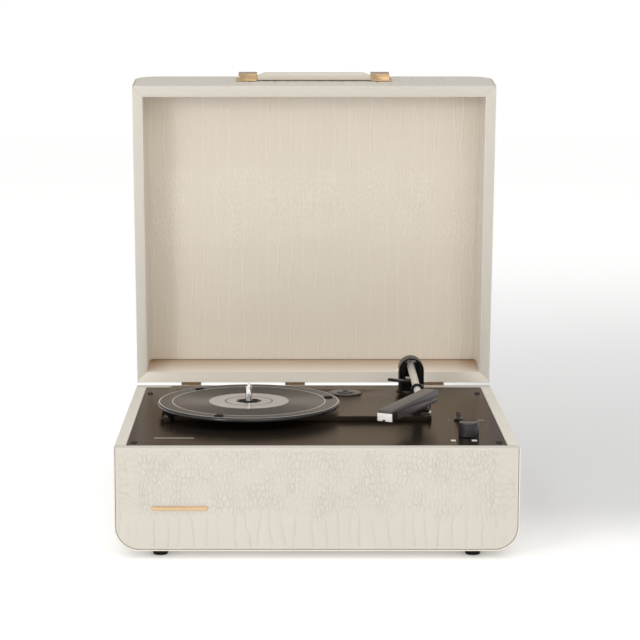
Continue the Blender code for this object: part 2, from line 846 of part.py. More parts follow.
speed_axis = pivot("speed_lever_axis", (SPEED_X, SPEED_Y, DECK_Z), parent=base)
speed_lever = box("speed_lever", (9.4 * MM, 7.5 * MM, 2.2 * MM), (0, 0, 1.4 * MM), bevel=0.6 * MM)
speed_lever.parent = speed_axis
tab = box("speed_tab", (4.4 * MM, 5 * MM, 8.5 * MM), (0, 0, 5.5 * MM), bevel=0.8 * MM)
tab.parent = speed_axis
tongue = box("speed_stem", (5 * MM, 2.6 * MM, 9 * MM), (0, 0, -3 * MM))
tongue.parent = speed_axis
add(speed_lever, tab, tongue)
finish(speed_lever, BLACK)
switch = box(
    "speed_switch",
    (36 * MM, 11 * MM, 9 * MM),
    (SPEED_X + SPEED_TRAVEL / 2, SPEED_Y, DECK_Z - DECK_T - GAP - 4.5 * MM),
)
switch.parent = base
cut(
    switch,
    box(
        "switch_slot",
        (SPEED_TRAVEL + 8 * MM, 3.6 * MM, 12 * MM),
        (SPEED_X + SPEED_TRAVEL / 2, SPEED_Y, DECK_Z - 3 * MM),
    ),
)
finish(switch, BLACK)

adapter_axis = pivot("adapter_axis", (ADAPTER_X, ADAPTER_Y, DECK_Z + CHASSIS_H), parent=base)
adapter = turned(
    "adapter_45",
    [
        (3.9 * MM, 2.4 * MM),
        (9 * MM, 2.4 * MM),
        (10 * MM, 1.2 * MM),
        (18.2 * MM, 1.2 * MM),
        (19.0 * MM, 0.6 * MM),
        (19.0 * MM, -0.9 * MM),
        (3.9 * MM, -0.9 * MM),
    ],
    (0, 0, 0),
    steps=40,
)
adapter.parent = adapter_axis
finish(adapter, BLACK)

# ---------------------------------------------------------------- inside the base
board = box("amplifier_board", (110 * MM, 70 * MM, 1.6 * MM), (40 * MM, 95 * MM, 19 * MM))
board.parent = base
lumps = [box("capacitor_block", (22 * MM, 14 * MM, 16 * MM), (15 * MM, 90 * MM, 27 * MM))]
lumps += [box("heat_sink", (30 * MM, 10 * MM, 20 * MM), (62 * MM, 112 * MM, 29 * MM))]
for sx in (-1, 1):
    for sy in (-1, 1):
        foot_centre = (40 * MM + sx * 50 * MM, 95 * MM + sy * 30 * MM, 15.8 * MM)
        lumps += [rod(f"stand_{sx}_{sy}", 3 * MM, 7 * MM, foot_centre, sides=10)]
add(board, *lumps)
finish(board, ((0.02, 0.12, 0.05), 0.5))

for side, word in ((-1, "left"), (1, "right")):
    speaker = turned(
        f"speaker_{word}",
        [
            (0, 44 * MM),
            (20 * MM, 44 * MM),
            (20 * MM, 33 * MM),
            (29 * MM, 24 * MM),
            (37 * MM, 15 * MM),
            (37 * MM, 12.3 * MM),
            (31 * MM, 12.3 * MM),
            (9 * MM, 24 * MM),
            (0, 25 * MM),
        ],
        (side * SPEAKER_X, -70 * MM, 0),
        steps=28,
    )
    speaker.parent = base
    finish(speaker, BLACK)

socket_spots = (-21 * MM, -7 * MM, 7 * MM, 21 * MM)
jack_block = box("jack_panel", (58 * MM, 22 * MM, 26 * MM), (JACK_X, CASE_D / 2 - 10.2 * MM, JACK_Z))
jack_block.parent = base
add(jack_block, box("jack_flange", (72 * MM, 1.5 * MM, 38 * MM), (JACK_X, CASE_D / 2 + 1.05 * MM, JACK_Z)))
for number, spot in enumerate(socket_spots, 1):
    barrel_centre = (JACK_X + spot, CASE_D / 2 + 2 * MM, JACK_Z)
    bore_centre = (JACK_X + spot, CASE_D / 2 + 4 * MM, JACK_Z)
    add(jack_block, rod(f"barrel_{number}", 4.2 * MM, 10 * MM, barrel_centre, along="Y", sides=18))
    cut(jack_block, rod(f"socket_{number}", 2.6 * MM, 16 * MM, bore_centre, along="Y", sides=14))
finish(jack_block, BLACK)

for foot_name, fx, fy in (
    ("foot_front_left", -FOOT_X, -FOOT_Y),
    ("foot_front_right", FOOT_X, -FOOT_Y),
    ("foot_back_left", -FOOT_X, FOOT_Y),
    ("foot_back_right", FOOT_X, FOOT_Y),
):
    foot = turned(
        foot_name,
        [(0, -GAP), (9 * MM, -GAP), (9 * MM, -2 * MM), (7.6 * MM, -FOOT_H), (0, -FOOT_H)],
        (fx, fy, 0),
        steps=24,
    )
    foot.parent = base
    finish(foot, RUBBER)

badge_z = 45.4 * MM
badge_y = -CASE_D / 2 - GAP - BADGE_T / 2
badge = box("front_badge", (58 * MM, BADGE_T, 4.6 * MM), (-142 * MM, badge_y, badge_z))
badge.parent = base
finish(badge, GOLD)

# ---------------------------------------------------------------- lid
hinge_line = pivot("lid_hinge_axis", (0, HINGE_Y, HINGE_Z), (-LID_OPEN, 0, 0), parent=base)
rim_plane = BASE_H + RIM_GAP
# Closed-lid coordinates: X and Y as the case, Z measured up from the case floor; the lid hangs on the
# hinge line, and its shells are drawn floor-up, so they are turned over about Y.
lid_frame = pivot("lid_frame", (0, -HINGE_Y, rim_plane + LID_T - HINGE_Z), (0, math.pi, 0), parent=hinge_line)

lid_band = finish(case_band("lid_band", LID_T, lid_frame), CREAM)
lid_front = finish(end_panel("lid_front_panel", LID_T, -1, lid_frame), CREAM)
lid_back = finish(end_panel("lid_back_panel", LID_T, 1, lid_frame), CREAM)
# The padded liner board fills the lid's roof and follows the rounded corners of the band.
liner_inset = WALL + GAP
liner_r = CORNER_R - liner_inset
liner_half = CASE_W / 2 - liner_inset - liner_r
liner_end = math.degrees(math.asin((liner_inset + liner_r - (LID_T - LINER_DEPTH)) / liner_r))
liner = sheet(
    "lid_liner",
    [
        arc(-liner_half, liner_inset + liner_r, liner_r, 180 + liner_end, 270, 5)
        + arc(liner_half, liner_inset + liner_r, liner_r, 270, 360 - liner_end, 5)
    ],
    2 * inner_y,
    (0, 0, 0),
    "Y",
)
liner.parent = lid_frame
finish(liner, CREAM)

handle_z = LID_T - HANDLE_UP
front_y = -CASE_D / 2
STRAP_W = 14 * MM
STRAP_T = 5.2 * MM
strap_y = front_y - 0.6 * MM - STRAP_T / 2
handle_axis = pivot("handle_lift_axis", (0, strap_y, handle_z), parent=lid_frame)
grip = box("handle_grip", (GRIP_LEN, STRAP_T, STRAP_W), (0, 0, 0), bevel=1.2 * MM)
grip.parent = handle_axis
finish(grip, CREAM)
bracket_x = GRIP_LEN / 2 + GAP + BRACKET_W / 2
# the lid frame is turned over, so its local +X is the player's left
for side, word in ((1, "left"), (-1, "right")):
    bracket = box(
        f"handle_bracket_{word}",
        (BRACKET_W, 8.4 * MM, STRAP_W + 3.2 * MM),
        (side * bracket_x, front_y - GAP - 4.2 * MM, handle_z),
    )
    bracket.parent = lid_frame
    channel = box(
        f"bracket_channel_{word}",
        (BRACKET_W + 6 * MM, 6.8 * MM, STRAP_W + 0.6 * MM),
        (side * bracket_x, front_y - 3.0 * MM, handle_z),
    )
    channel.parent = lid_frame
    for flank in (-1, 1):
        flange_z = handle_z + flank * (STRAP_W / 2 + 2.0 * MM)
        flange = box(
            f"bracket_flange_{word}_{flank}",
            (BRACKET_W + 2.4 * MM, 1.4 * MM, 3.4 * MM),
            (side * (bracket_x + 1.2 * MM), front_y - GAP - 0.7 * MM, flange_z),
        )
        flange.parent = lid_frame
        add(bracket, flange)
    cut(bracket, channel)
    finish(bracket, GOLD)
    strap_end = box(
        f"strap_end_{word}",
        (BRACKET_W - 4 * MM, STRAP_T, STRAP_W),
        (side * (GRIP_LEN / 2 + 0.5 * MM + BRACKET_W / 2 - 2 * MM), strap_y, handle_z),
    )
    strap_end.parent = lid_frame
    finish(strap_end, CREAM)

# ---------------------------------------------------------------- hinges
LEAF_T = 1.0 * MM
LEAF_H = 17 * MM
leaf_y = CASE_D / 2 + GAP + LEAF_T / 2 - HINGE_Y
for number, hx in enumerate(HINGE_X, 1):
    word = ("left", "middle", "right")[number - 1]
    hinge_spot = pivot(f"hinge_{word}_spot", (hx, HINGE_Y, HINGE_Z), parent=base)
    fixed = box(f"hinge_{word}_base_leaf", (HINGE_LEN, LEAF_T, LEAF_H), (0, leaf_y, -LEAF_H / 2))
    fixed.parent = hinge_spot
    third = HINGE_LEN / 4
    parts = [rod(f"hinge_{word}_pin", 0.8 * MM, HINGE_LEN - 2 * MM, (0, 0, 0), along="X", sides=12)]
    knuckle_clear = 2 * (KNUCKLE_R + 0.3 * MM)
    window = box(f"hinge_{word}_window", (2 * third + 0.6 * MM, 8 * MM, knuckle_clear), (0, 0, 0))
    window.parent = hinge_spot
    cut(fixed, window)
    for side in (-1, 1):
        knuckle_centre = (side * 1.5 * third, 0, 0)
        parts += [rod(f"hinge_{word}_knuckle_{side}", KNUCKLE_R, third, knuckle_centre, along="X", sides=16)]
    for piece in parts:
        piece.parent = hinge_spot
    add(fixed, *parts)
    finish(fixed, BRONZE)

    lid_spot = pivot(f"hinge_{word}_lid_spot", (hx, 0, 0), parent=hinge_line)
    moving = box(f"hinge_{word}_lid_leaf", (HINGE_LEN, LEAF_T, LEAF_H), (0, leaf_y, LEAF_H / 2 + 0.2 * MM))
    moving.parent = lid_spot
    for side in (-1, 1):
        notch = box(
            f"hinge_{word}_notch_{side}",
            (third + 0.9 * MM, 8 * MM, 2 * (KNUCKLE_R + 0.3 * MM)),
            (side * (1.5 * third + 0.3 * MM), 0, 0),
        )
        notch.parent = lid_spot
        cut(moving, notch)
    middle = rod(f"hinge_{word}_middle", KNUCKLE_R, 2 * third - 0.6 * MM, (0, 0, 0), along="X", sides=16)
    middle.parent = lid_spot
    add(moving, middle)
    bore = rod(f"hinge_{word}_bore", 1.05 * MM, HINGE_LEN, (0, 0, 0), along="X", sides=12)
    bore.parent = lid_spot
    cut(moving, bore)
    finish(moving, BRONZE)
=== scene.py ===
import json
import math

import bmesh
import bpy
import numpy as np
from mathutils import Matrix, Vector

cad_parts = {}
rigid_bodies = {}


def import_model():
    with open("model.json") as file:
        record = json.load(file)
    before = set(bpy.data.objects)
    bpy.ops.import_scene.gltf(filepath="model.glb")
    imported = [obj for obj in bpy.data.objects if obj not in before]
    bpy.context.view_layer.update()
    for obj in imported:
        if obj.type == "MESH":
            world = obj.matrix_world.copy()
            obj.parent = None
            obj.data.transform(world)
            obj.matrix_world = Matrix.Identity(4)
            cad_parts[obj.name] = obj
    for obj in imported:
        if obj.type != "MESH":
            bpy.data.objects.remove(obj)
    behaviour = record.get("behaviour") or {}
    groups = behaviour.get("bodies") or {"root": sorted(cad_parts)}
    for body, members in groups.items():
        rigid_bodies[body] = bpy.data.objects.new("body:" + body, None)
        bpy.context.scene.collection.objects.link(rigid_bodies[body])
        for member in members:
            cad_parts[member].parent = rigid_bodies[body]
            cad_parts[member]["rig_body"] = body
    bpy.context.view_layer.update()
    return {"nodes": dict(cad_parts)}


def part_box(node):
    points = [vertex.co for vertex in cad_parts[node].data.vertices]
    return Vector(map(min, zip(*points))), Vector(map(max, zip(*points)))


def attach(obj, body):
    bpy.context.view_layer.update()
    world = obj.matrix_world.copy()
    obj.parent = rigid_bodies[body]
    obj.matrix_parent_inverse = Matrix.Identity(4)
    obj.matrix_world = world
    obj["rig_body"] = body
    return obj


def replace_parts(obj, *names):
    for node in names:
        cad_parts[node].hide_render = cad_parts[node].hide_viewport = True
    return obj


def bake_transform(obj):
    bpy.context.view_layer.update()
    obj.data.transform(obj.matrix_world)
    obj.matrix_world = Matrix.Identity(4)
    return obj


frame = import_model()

MM = 0.001
nodes = frame["nodes"]
scene = bpy.context.scene

# ------------------------------------------------------------------ wrap of the base
# The base is a board box whose two sides and floor are one bent wall, covered in cream leatherette
# that is embossed like crocodile hide. Its ends stand a little proud of the end panels as a lip.
base_low, base_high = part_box("base_band")
CASE_MID_Y = (base_low.y + base_high.y) / 2
FLOOR_Z = base_low.z
HALF_W = (base_high.x - base_low.x) / 2
HALF_D = (base_high.y - base_low.y) / 2
BASE_H = base_high.z - base_low.z
WALL = 12 * MM
CORNER_R = 26 * MM
LIP = 1.3 * MM
PANEL_GAP = 0.3 * MM
RIM_ROUND = 0.6 * MM
GRAIN_STEP = 1.75 * MM
PLAIN_EDGE = 0.8 * MM
TURNED_TONE = (0.36, 0.22, 0.11)
# How strongly the painted crease colour, shade or highlight, shows.
CREASE_PAINT_SHOWS = 0.2


def base_place(points):
    """Case coordinates to the row frame: X and Y from the middle of the case, Z from its underside."""
    return points + np.array((0.0, CASE_MID_Y, FLOOR_Z))


def drift(u, v, reach, seed):
    """Slow random waves from -1 to 1 over the hide, reach long."""
    table = np.random.RandomState(seed).rand(64, 64) * 2 - 1
    iu, iv = np.floor(u / reach).astype(int), np.floor(v / reach).astype(int)
    fu, fv = u / reach - iu, v / reach - iv
    fu, fv = fu * fu * (3 - 2 * fu), fv * fv * (3 - 2 * fv)
    low = table[iu % 64, iv % 64] * (1 - fu) + table[(iu + 1) % 64, iv % 64] * fu
    high = table[iu % 64, (iv + 1) % 64] * (1 - fu) + table[(iu + 1) % 64, (iv + 1) % 64] * fu
    return low * (1 - fv) + high * fv


def crease_distance(u, v, wide, tall, seed):
    """How far each point of the hide is from the nearest crease between scales of that size."""
    spots = np.random.RandomState(seed).rand(64, 64, 2) * 0.8 + 0.1
    gu, gv = u / wide, v / tall
    iu, iv = np.floor(gu).astype(int), np.floor(gv).astype(int)
    centres = []
    for step_u in (-1, 0, 1):
        for step_v in (-1, 0, 1):
            spot = spots[(iu + step_u) % 64, (iv + step_v) % 64]
            centres.append((iu + step_u + spot[..., 0], iv + step_v + spot[..., 1]))
    reach = np.array([(gu - cu) ** 2 + (gv - cv) ** 2 for cu, cv in centres])
    own = reach.argmin(0)
    own_u = np.choose(own, [c[0] for c in centres])
    own_v = np.choose(own, [c[1] for c in centres])
    own_reach = reach.min(0)
    nearest = np.full(u.shape, 1.0)
    for number, (cu, cv) in enumerate(centres):
        slope = np.hypot((own_u - cu) / wide, (own_v - cv) / tall)
        border = (reach[number] - own_reach) / 2 / np.maximum(slope, 1e-6)
        nearest = np.where(own == number, nearest, np.minimum(nearest, border))
    return nearest


def long_creases(u, v, spacing, seed):
    """Creases that run along the hide, each with its own slow wander; gives gap and strength."""
    shift = np.random.RandomState(seed).rand(256) * 0.5 - 0.25
    lane = np.floor(u / spacing).astype(int)
    nearest = np.full(u.shape, spacing)
    mark = np.zeros(u.shape)
    for step in (-1, 0, 1):
        own = lane + step
        wander = 3.2 * MM * drift(own * 47 * MM, v, 34 * MM, seed + 6)
        wander = wander + 0.9 * MM * drift(own * 12.3 * MM, v, 9 * MM, seed + 7)
        gap = np.abs(u - (own + 0.5 + shift[own % 256]) * spacing - wander)
        strength = np.clip(0.85 + 0.4 * drift(own * 73 * MM, v, 53 * MM, seed + 8), 0.5, 1)
        nearest = np.minimum(nearest, gap)
        mark = np.maximum(mark, np.exp(-((gap / (0.62 * MM)) ** 2)) * strength)
    return nearest, mark


def hide(u, v, small, seed, spacing=13.5 * MM, vein=-0.5):
    """Height of the crocodile grain, and how much each point is in a crease, 0 to 1.

    u runs across the hide and v along it; small is 1 where the scales are small and 0 where only
    long creases run. vein is how far a crease rises (or sinks) inside its valley, in mm.
    """
    across = u + 2.4 * MM * drift(u, v, 24 * MM, seed) + 1.3 * MM * drift(u, v, 7 * MM, seed + 1)
    along = v + 3 * MM * drift(u, v, 16 * MM, seed + 2)
    long_gap, long_crease = long_creases(u, v, spacing, seed + 3)
    small_gap = crease_distance(across, along, 4.2 * MM, 7.8 * MM, seed + 4)
    strength = np.clip(0.85 + 0.35 * drift(u, v, 13 * MM, seed + 5), 0.5, 1)
    long_crease = long_crease * (1 - 0.5 * small)
    small_crease = np.exp(-((small_gap / (0.5 * MM)) ** 2)) * small * strength
    crease = np.maximum(long_crease, small_crease)
    swell = (1 - np.exp(-small_gap / (1.1 * MM))) * small * strength * 0.62
    swell = swell + (1 - np.exp(-long_gap / (1.3 * MM))) * 0.42 * (1 - 0.6 * small)
    return (swell + vein * crease - 0.35) * MM, crease


def station_grid(name, us, vs, shape):
    """A grid of faces with a column at each of us and a row at each of vs, placed by shape(i, j)."""
    bm = bmesh.new()
    bmesh.ops.create_grid(bm, x_segments=len(us) - 1, y_segments=len(vs) - 1, size=0.5)
    mesh = bpy.data.meshes.new(name)
    bm.to_mesh(mesh)
    bm.free()
    flat = np.empty(len(mesh.vertices) * 3)
    mesh.vertices.foreach_get("co", flat)
    flat = flat.reshape(-1, 3)
    column = np.rint((flat[:, 0] + 0.5) * (len(us) - 1)).astype(int)
    row = np.rint((flat[:, 1] + 0.5) * (len(vs) - 1)).astype(int)
    placed, marks = shape(column, row)
    mesh.vertices.foreach_set("co", placed.astype(np.float32).ravel())
    for mark, values in marks.items():
        layer = mesh.attributes.new(mark, "FLOAT", "POINT")
        layer.data.foreach_set("value", values.astype(np.float32))
    return mesh


def piece_from(name, body, mesh, look, sharp=35):
    """Puts a finished mesh in the scene as a piece that rides on a body."""
    obj = bpy.data.objects.new(name, mesh)
    scene.collection.objects.link(obj)
    mesh.materials.clear()
    mesh.materials.append(look)
    mesh.shade_smooth()
    mesh.set_sharp_from_angle(angle=math.radians(sharp))
    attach(obj, body)
    return obj


def wired(name):
    """A new material with its node tree, its Principled shader and a way to add nodes."""
    mat = bpy.data.materials.new(name)
    mat.use_nodes = True
    tree = mat.node_tree
    shader = tree.nodes["Principled BSDF"]

    def node(kind, **settings):
        made = tree.nodes.new(kind)
        for key, value in settings.items():
            if key in made.inputs:
                made.inputs[key].default_value = value
            else:
                setattr(made, key.lower(), value)
        return made

    return mat, tree, shader, node


def leatherette(name, light, shade, painted_crease, grain=0.35, gloss=0.5):
    """Embossed vinyl on cloth: a pebbled skin with painted shade in its creases (painted highlight where
    a pale crease colour is given), tan where its edge is turned.
    """
    mat, tree, shader, node = wired(name)
    link = tree.links.new
    place = node("ShaderNodeTexCoord").outputs["Object"]
    blotch = node("ShaderNodeTexNoise", Scale=14.0, Detail=3.0)
    link(place, blotch.inputs["Vector"])
    tone = node("ShaderNodeMix", data_type="RGBA")
    tone.inputs["A"].default_value = (*light, 1)
    tone.inputs["B"].default_value = (*shade, 1)
    link(blotch.outputs["Fac"], tone.inputs["Factor"])
    # The crease colour is painted light and shade: shade in the creases of the cream hides, highlight on
    # the liner's creases.
    crease = node("ShaderNodeAttribute", attribute_name="crease")
    creased = node("ShaderNodeMix", data_type="RGBA")
    creased.inputs["B"].default_value = (*painted_crease, 1)
    link(tone.outputs["Result"], creased.inputs["A"])
    ease = node("ShaderNodeMath", operation="MULTIPLY")
    ease.inputs[1].default_value = CREASE_PAINT_SHOWS
    link(crease.outputs["Fac"], ease.inputs[0])
    link(ease.outputs["Value"], creased.inputs["Factor"])
    turned = node("ShaderNodeAttribute", attribute_name="turned")
    edged = node("ShaderNodeMix", data_type="RGBA")
    edged.inputs["B"].default_value = (*TURNED_TONE, 1)
    link(creased.outputs["Result"], edged.inputs["A"])
    link(turned.outputs["Fac"], edged.inputs["Factor"])
    link(edged.outputs["Result"], shader.inputs["Base Color"])
    pebble = node("ShaderNodeTexVoronoi", Scale=900.0)
    fine = node("ShaderNodeTexNoise", Scale=1500.0, Detail=2.0)
    link(place, pebble.inputs["Vector"])
    link(place, fine.inputs["Vector"])
    skin = node("ShaderNodeMath", operation="ADD")
    link(pebble.outputs["Distance"], skin.inputs[0])
    link(fine.outputs["Fac"], skin.inputs[1])
    bump = node("ShaderNodeBump", Strength=grain, Distance=0.00025)
    link(skin.outputs["Value"], bump.inputs["Height"])
    link(bump.outputs["Normal"], shader.inputs["Normal"])
    worn = node("ShaderNodeMapRange")
    worn.inputs["To Min"].default_value = gloss - 0.07
    worn.inputs["To Max"].default_value = gloss + 0.1
    link(blotch.outputs["Fac"], worn.inputs["Value"])
    link(worn.outputs["Result"], shader.inputs["Roughness"])
    shader.inputs["Specular IOR Level"].default_value = 0.38
    return mat


CREAM = (0.75, 0.71, 0.645)
CREAM_SHADE = (0.70, 0.655, 0.59)
# Painted shade laid into the creases of the hide.
CREASE_SHADE = (0.46, 0.39, 0.30)
cream_hide = leatherette("cream_hide", CREAM, CREAM_SHADE, CREASE_SHADE)


def run_stations(length, step, ends=(0.0, 0.15, 0.35, 0.6, 1.0, 1.6)):
    """Stations along a run, closer together at its two rounded ends."""
    near = np.array(ends) * MM
    count = max(2, int(round((length - 2 * near[-1]) / step)))
    between = np.linspace(near[-1], length - near[-1], count)
    return np.concatenate((near[:-1], between, length - near[-2::-1]))


def rolled(edge, radius):
    """How far a rounded edge falls away at each distance in from it."""
    inside = np.clip(radius - edge, 0, radius)
    return radius - np.sqrt(np.maximum(radius**2 - inside**2, 0))


def wrap_mesh(name, height, step, place, seed, small_scales):
    """One half of the case seen as a bent wall: a ring across its thickness, swept from rim to rim."""
    straight = height - CORNER_R
    bend = CORNER_R * math.pi / 2
    floor = 2 * (HALF_W - CORNER_R)
    length = 2 * straight + 2 * bend + floor
    along = run_stations(length, step)
    skin_y = run_stations(2 * HALF_D, step) - HALF_D
    rebate = HALF_D - WALL - PANEL_GAP
    ring_y = np.concatenate((skin_y, [HALF_D, rebate, rebate, -rebate, -rebate, -HALF_D, -HALF_D]))
    ring_in = np.concatenate((np.zeros(len(skin_y)), [LIP, LIP, WALL, WALL, LIP, LIP, 0.0]))
    pull_in = np.concatenate((np.ones(len(skin_y)), [-0.6, -0.6, -1, -1, -0.6, -0.6, 1.0]))
    is_skin = np.concatenate((np.ones(len(skin_y)), np.zeros(6), [1.0]))

    def shape(i, j):
        s, y, inward = along[i], ring_y[j], ring_in[j]
        end = np.minimum(s, length - s)
        inward = inward + rolled(end, RIM_ROUND) * pull_in[j]
        turn_l = np.clip((s - straight) / CORNER_R, 0, math.pi / 2)
        turn_r = np.clip((s - straight - bend - floor) / CORNER_R, 0, math.pi / 2)
        angle = math.pi + turn_l + turn_r
        flat_run = np.clip(s - straight - bend, 0, floor)
        centre_x = -HALF_W + CORNER_R + flat_run
        z_wall = np.where(s < straight, height - s, CORNER_R)
        z_wall = np.where(s > length - straight, height - (length - s), z_wall)
        out_x, out_z = np.cos(angle), np.sin(angle)
        grain, crease = hide(s, y, small_scales(s, y), seed)
        edge = np.minimum(end, HALF_D - np.abs(y))
        fade = np.clip((edge - PLAIN_EDGE) / (4 * MM), 0, 1) * is_skin[j]
        reach = CORNER_R - inward + grain * fade
        x = centre_x + out_x * reach
        z = z_wall + out_z * reach
        points = np.stack((x, y, z), 1)
        return place(points), {"crease": crease * fade, "turned": np.zeros(len(x))}

    mesh = station_grid(name, along, ring_y, shape)
    bm = bmesh.new()
    bm.from_mesh(mesh)
    bmesh.ops.remove_doubles(bm, verts=bm.verts, dist=0.02 * MM)
    bmesh.ops.holes_fill(bm, edges=[e for e in bm.edges if e.is_boundary])
    bmesh.ops.recalc_face_normals(bm, faces=bm.faces)
    bm.to_mesh(mesh)
    bm.free()
    return mesh


def base_small(s, y):
    return np.clip(0.75 + 0.9 * drift(s, y, 60 * MM, 5), 0, 1)


def carved(name, mesh, *tools):
    """The mesh with each tool's shape cut out of it; the tools are bmeshes and are used up."""
    body = bpy.data.objects.new(name, mesh)
    scene.collection.objects.link(body)
    cutters = []
    for tool in tools:
        cutter_mesh = bpy.data.meshes.new("cutter")
        tool.to_mesh(cutter_mesh)
        tool.free()
        cutter = bpy.data.objects.new("cutter", cutter_mesh)
        scene.collection.objects.link(cutter)
        cutters.append(cutter)
        cut = body.modifiers.new("cut", "BOOLEAN")
        cut.operation = "DIFFERENCE"
        cut.solver = "EXACT"
        cut.object = cutter
    bpy.context.view_layer.update()
    done = bpy.data.meshes.new_from_object(body.evaluated_get(bpy.context.evaluated_depsgraph_get()))
    for extra in [body, *cutters]:
        bpy.data.objects.remove(extra, do_unlink=True)
    done.name = name
    return done


def drum(radius, depth, centre, sides):
    """A round bmesh tool about an upright axis."""
    bm = bmesh.new()
    bmesh.ops.create_cone(
        bm,
        cap_ends=True,
        segments=sides,
        radius1=radius,
        radius2=radius,
        depth=depth,
        matrix=Matrix.Translation(centre),
    )
    return bm


SPEAKER_HOLE_R = 31 * MM
SPEAKER_CUT = 30 * MM
speaker_spots = [sum(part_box(n), Vector()) / 2 for n in ("speaker_left", "speaker_right")]
holes = [drum(SPEAKER_HOLE_R, SPEAKER_CUT, (s.x, s.y, FLOOR_Z + WALL / 2), 48) for s in speaker_spots]
base_mesh = wrap_mesh("base_wrap", BASE_H, GRAIN_STEP, base_place, 11, base_small)
base_mesh = carved("base_wrap", base_mesh, *holes)
base_wrap = piece_from("base_wrap", "case", base_mesh, cream_hide)
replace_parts(base_wrap, "base_band")


# ------------------------------------------------------------------ end panels of the base
# Flat boards, covered in the same hide, close the two ends of the bent wall just inside its lip.
# Their covering is turned over the edge, which leaves a thin tan line all round.
PANEL_INSET = LIP + PANEL_GAP
PANEL_ROUND = 0.9 * MM
TAN_LINE = 0.55 * MM
FRONT_STEP = 0.72 * MM
BACK_STEP = 1.2 * MM
LID_END_STEP = 1.1 * MM
JACK_HALF_W = 31 * MM
JACK_HALF_H = 15 * MM


def verts_of(geom):
    return [g for g in geom if isinstance(g, bmesh.types.BMVert)]


def close_behind(bm, mesh, into):
    """Gives a sheet of faces a wall round its edge and a flat back, and writes it to the mesh."""
    edge = [e for e in bm.edges if e.is_boundary]
    back = verts_of(bmesh.ops.extrude_edge_only(bm, edges=edge)["geom"])
    bmesh.ops.translate(bm, verts=back, vec=Vector(into))
    bmesh.ops.triangle_fill(bm, use_beauty=True, edges=[e for e in bm.edges if e.is_boundary])
    bmesh.ops.recalc_face_normals(bm, faces=bm.faces)
    bm.to_mesh(mesh)
    bm.free()


def panel_mesh(name, height, front, step, place, seed, small_scales, window=None, pressed=None):
    """One end board: a fine grid squeezed to the rounded outline, its edges rolled and its back closed.

    front is -1 for the end that faces -Y and 1 for the other; window is an opening (x0, x1, z0, z1)
    and pressed is a patch whose grain is pressed flat, given the same way.
    """
    half = HALF_W - PANEL_INSET
    radius = CORNER_R - PANEL_INSET
    swing = np.linspace(0, math.pi / 2, 17)
    corner = half - radius + radius * np.sin(swing)
    flat = np.linspace(-(half - radius), half - radius, int(round(2 * (half - radius) / step)))
    near = half - np.array((0.1, 0.25, 0.45, 0.7)) * MM
    columns = np.concatenate((-corner, flat, corner, near, -near))
    rise = height - PANEL_INSET
    rows = run_stations(rise, step, (0.0, 0.12, 0.3, 0.55, 0.9, 1.5)) / rise
    if window:
        x0, x1, z0, z1 = window
        columns = np.concatenate((columns, (x0, x1)))
        sills = ((z0 - PANEL_INSET) / rise, (z1 - PANEL_INSET) / rise)
        rows = np.unique(np.concatenate((rows, sills)))
    columns = np.unique(np.round(columns, 7))
    columns = columns[np.concatenate(([True], np.diff(columns) > 0.06 * MM))]

    def shape(i, j):
        x, share = columns[i], rows[j]
        beyond = np.clip(np.abs(x) - (half - radius), 0, radius)
        bottom = PANEL_INSET + radius - np.sqrt(np.maximum(radius**2 - beyond**2, 0))
        z = bottom + share * (height - bottom)
        corner_z = PANEL_INSET + radius
        in_corner = (beyond > 0) & (z < corner_z)
        edge = np.minimum(np.minimum(half - np.abs(x), z - PANEL_INSET), height - z)
        from_corner = radius - np.hypot(beyond, np.minimum(z - corner_z, 0))
        edge = np.maximum(np.where(in_corner, from_corner, edge), 0)
        grain, crease = hide(x, z, small_scales(x, z), seed)
        fade = np.clip((edge - PLAIN_EDGE) / (3 * MM), 0, 1)
        if pressed:
            beside = np.maximum(pressed[0] - x, x - pressed[1])
            beside = np.maximum(beside, np.maximum(pressed[2] - z, z - pressed[3]))
            fade = fade * np.clip((beside - 0.3 * MM) / (1.8 * MM), 0, 1)
        y = front * (HALF_D - rolled(edge, PANEL_ROUND) + grain * fade)
        tan = np.clip(1 - edge / TAN_LINE, 0, 1) * (height - z > 1.2 * MM)
        return place(np.stack((x, y, z), 1)), {"crease": crease * fade, "turned": tan}

    mesh = station_grid(name, columns, rows, shape)
    bm = bmesh.new()
    bm.from_mesh(mesh)
    if window:
        corners = place(np.array([(window[0], 0, window[2]), (window[1], 0, window[3])]))
        low, high = corners.min(0), corners.max(0)
        middles = [(f, f.calc_center_median()) for f in bm.faces]
        inside = [f for f, m in middles if low[0] < m.x < high[0] and low[2] < m.z < high[2]]
        bmesh.ops.delete(bm, geom=inside, context="FACES")
    inner = place(np.array([(0, front * (HALF_D - WALL), 0)]))[0]
    outer = place(np.array([(0, front * HALF_D, 0)]))[0]
    close_behind(bm, mesh, inner - outer)
    return mesh


def front_small(x, z):
    """Small scales fill the upper two thirds; only long creases run on below."""
    return np.clip((z - 30 * MM + 7 * MM * drift(x, z, 25 * MM, 8)) / (12 * MM), 0, 1)


def plain_small(x, z):
    return np.clip(0.7 + 0.9 * drift(x, z, 55 * MM, 9), 0, 1)


jack_low, jack_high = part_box("jack_panel")
jack_x = (jack_low.x + jack_high.x) / 2
jack_z = (jack_low.z + jack_high.z) / 2 - FLOOR_Z
badge_low, badge_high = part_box("front_badge")
under_badge = (badge_low.x, badge_high.x, badge_low.z - FLOOR_Z, badge_high.z - FLOOR_Z)
front_mesh = panel_mesh(
    "base_front", BASE_H, -1, FRONT_STEP, base_place, 21, front_small, pressed=under_badge
)
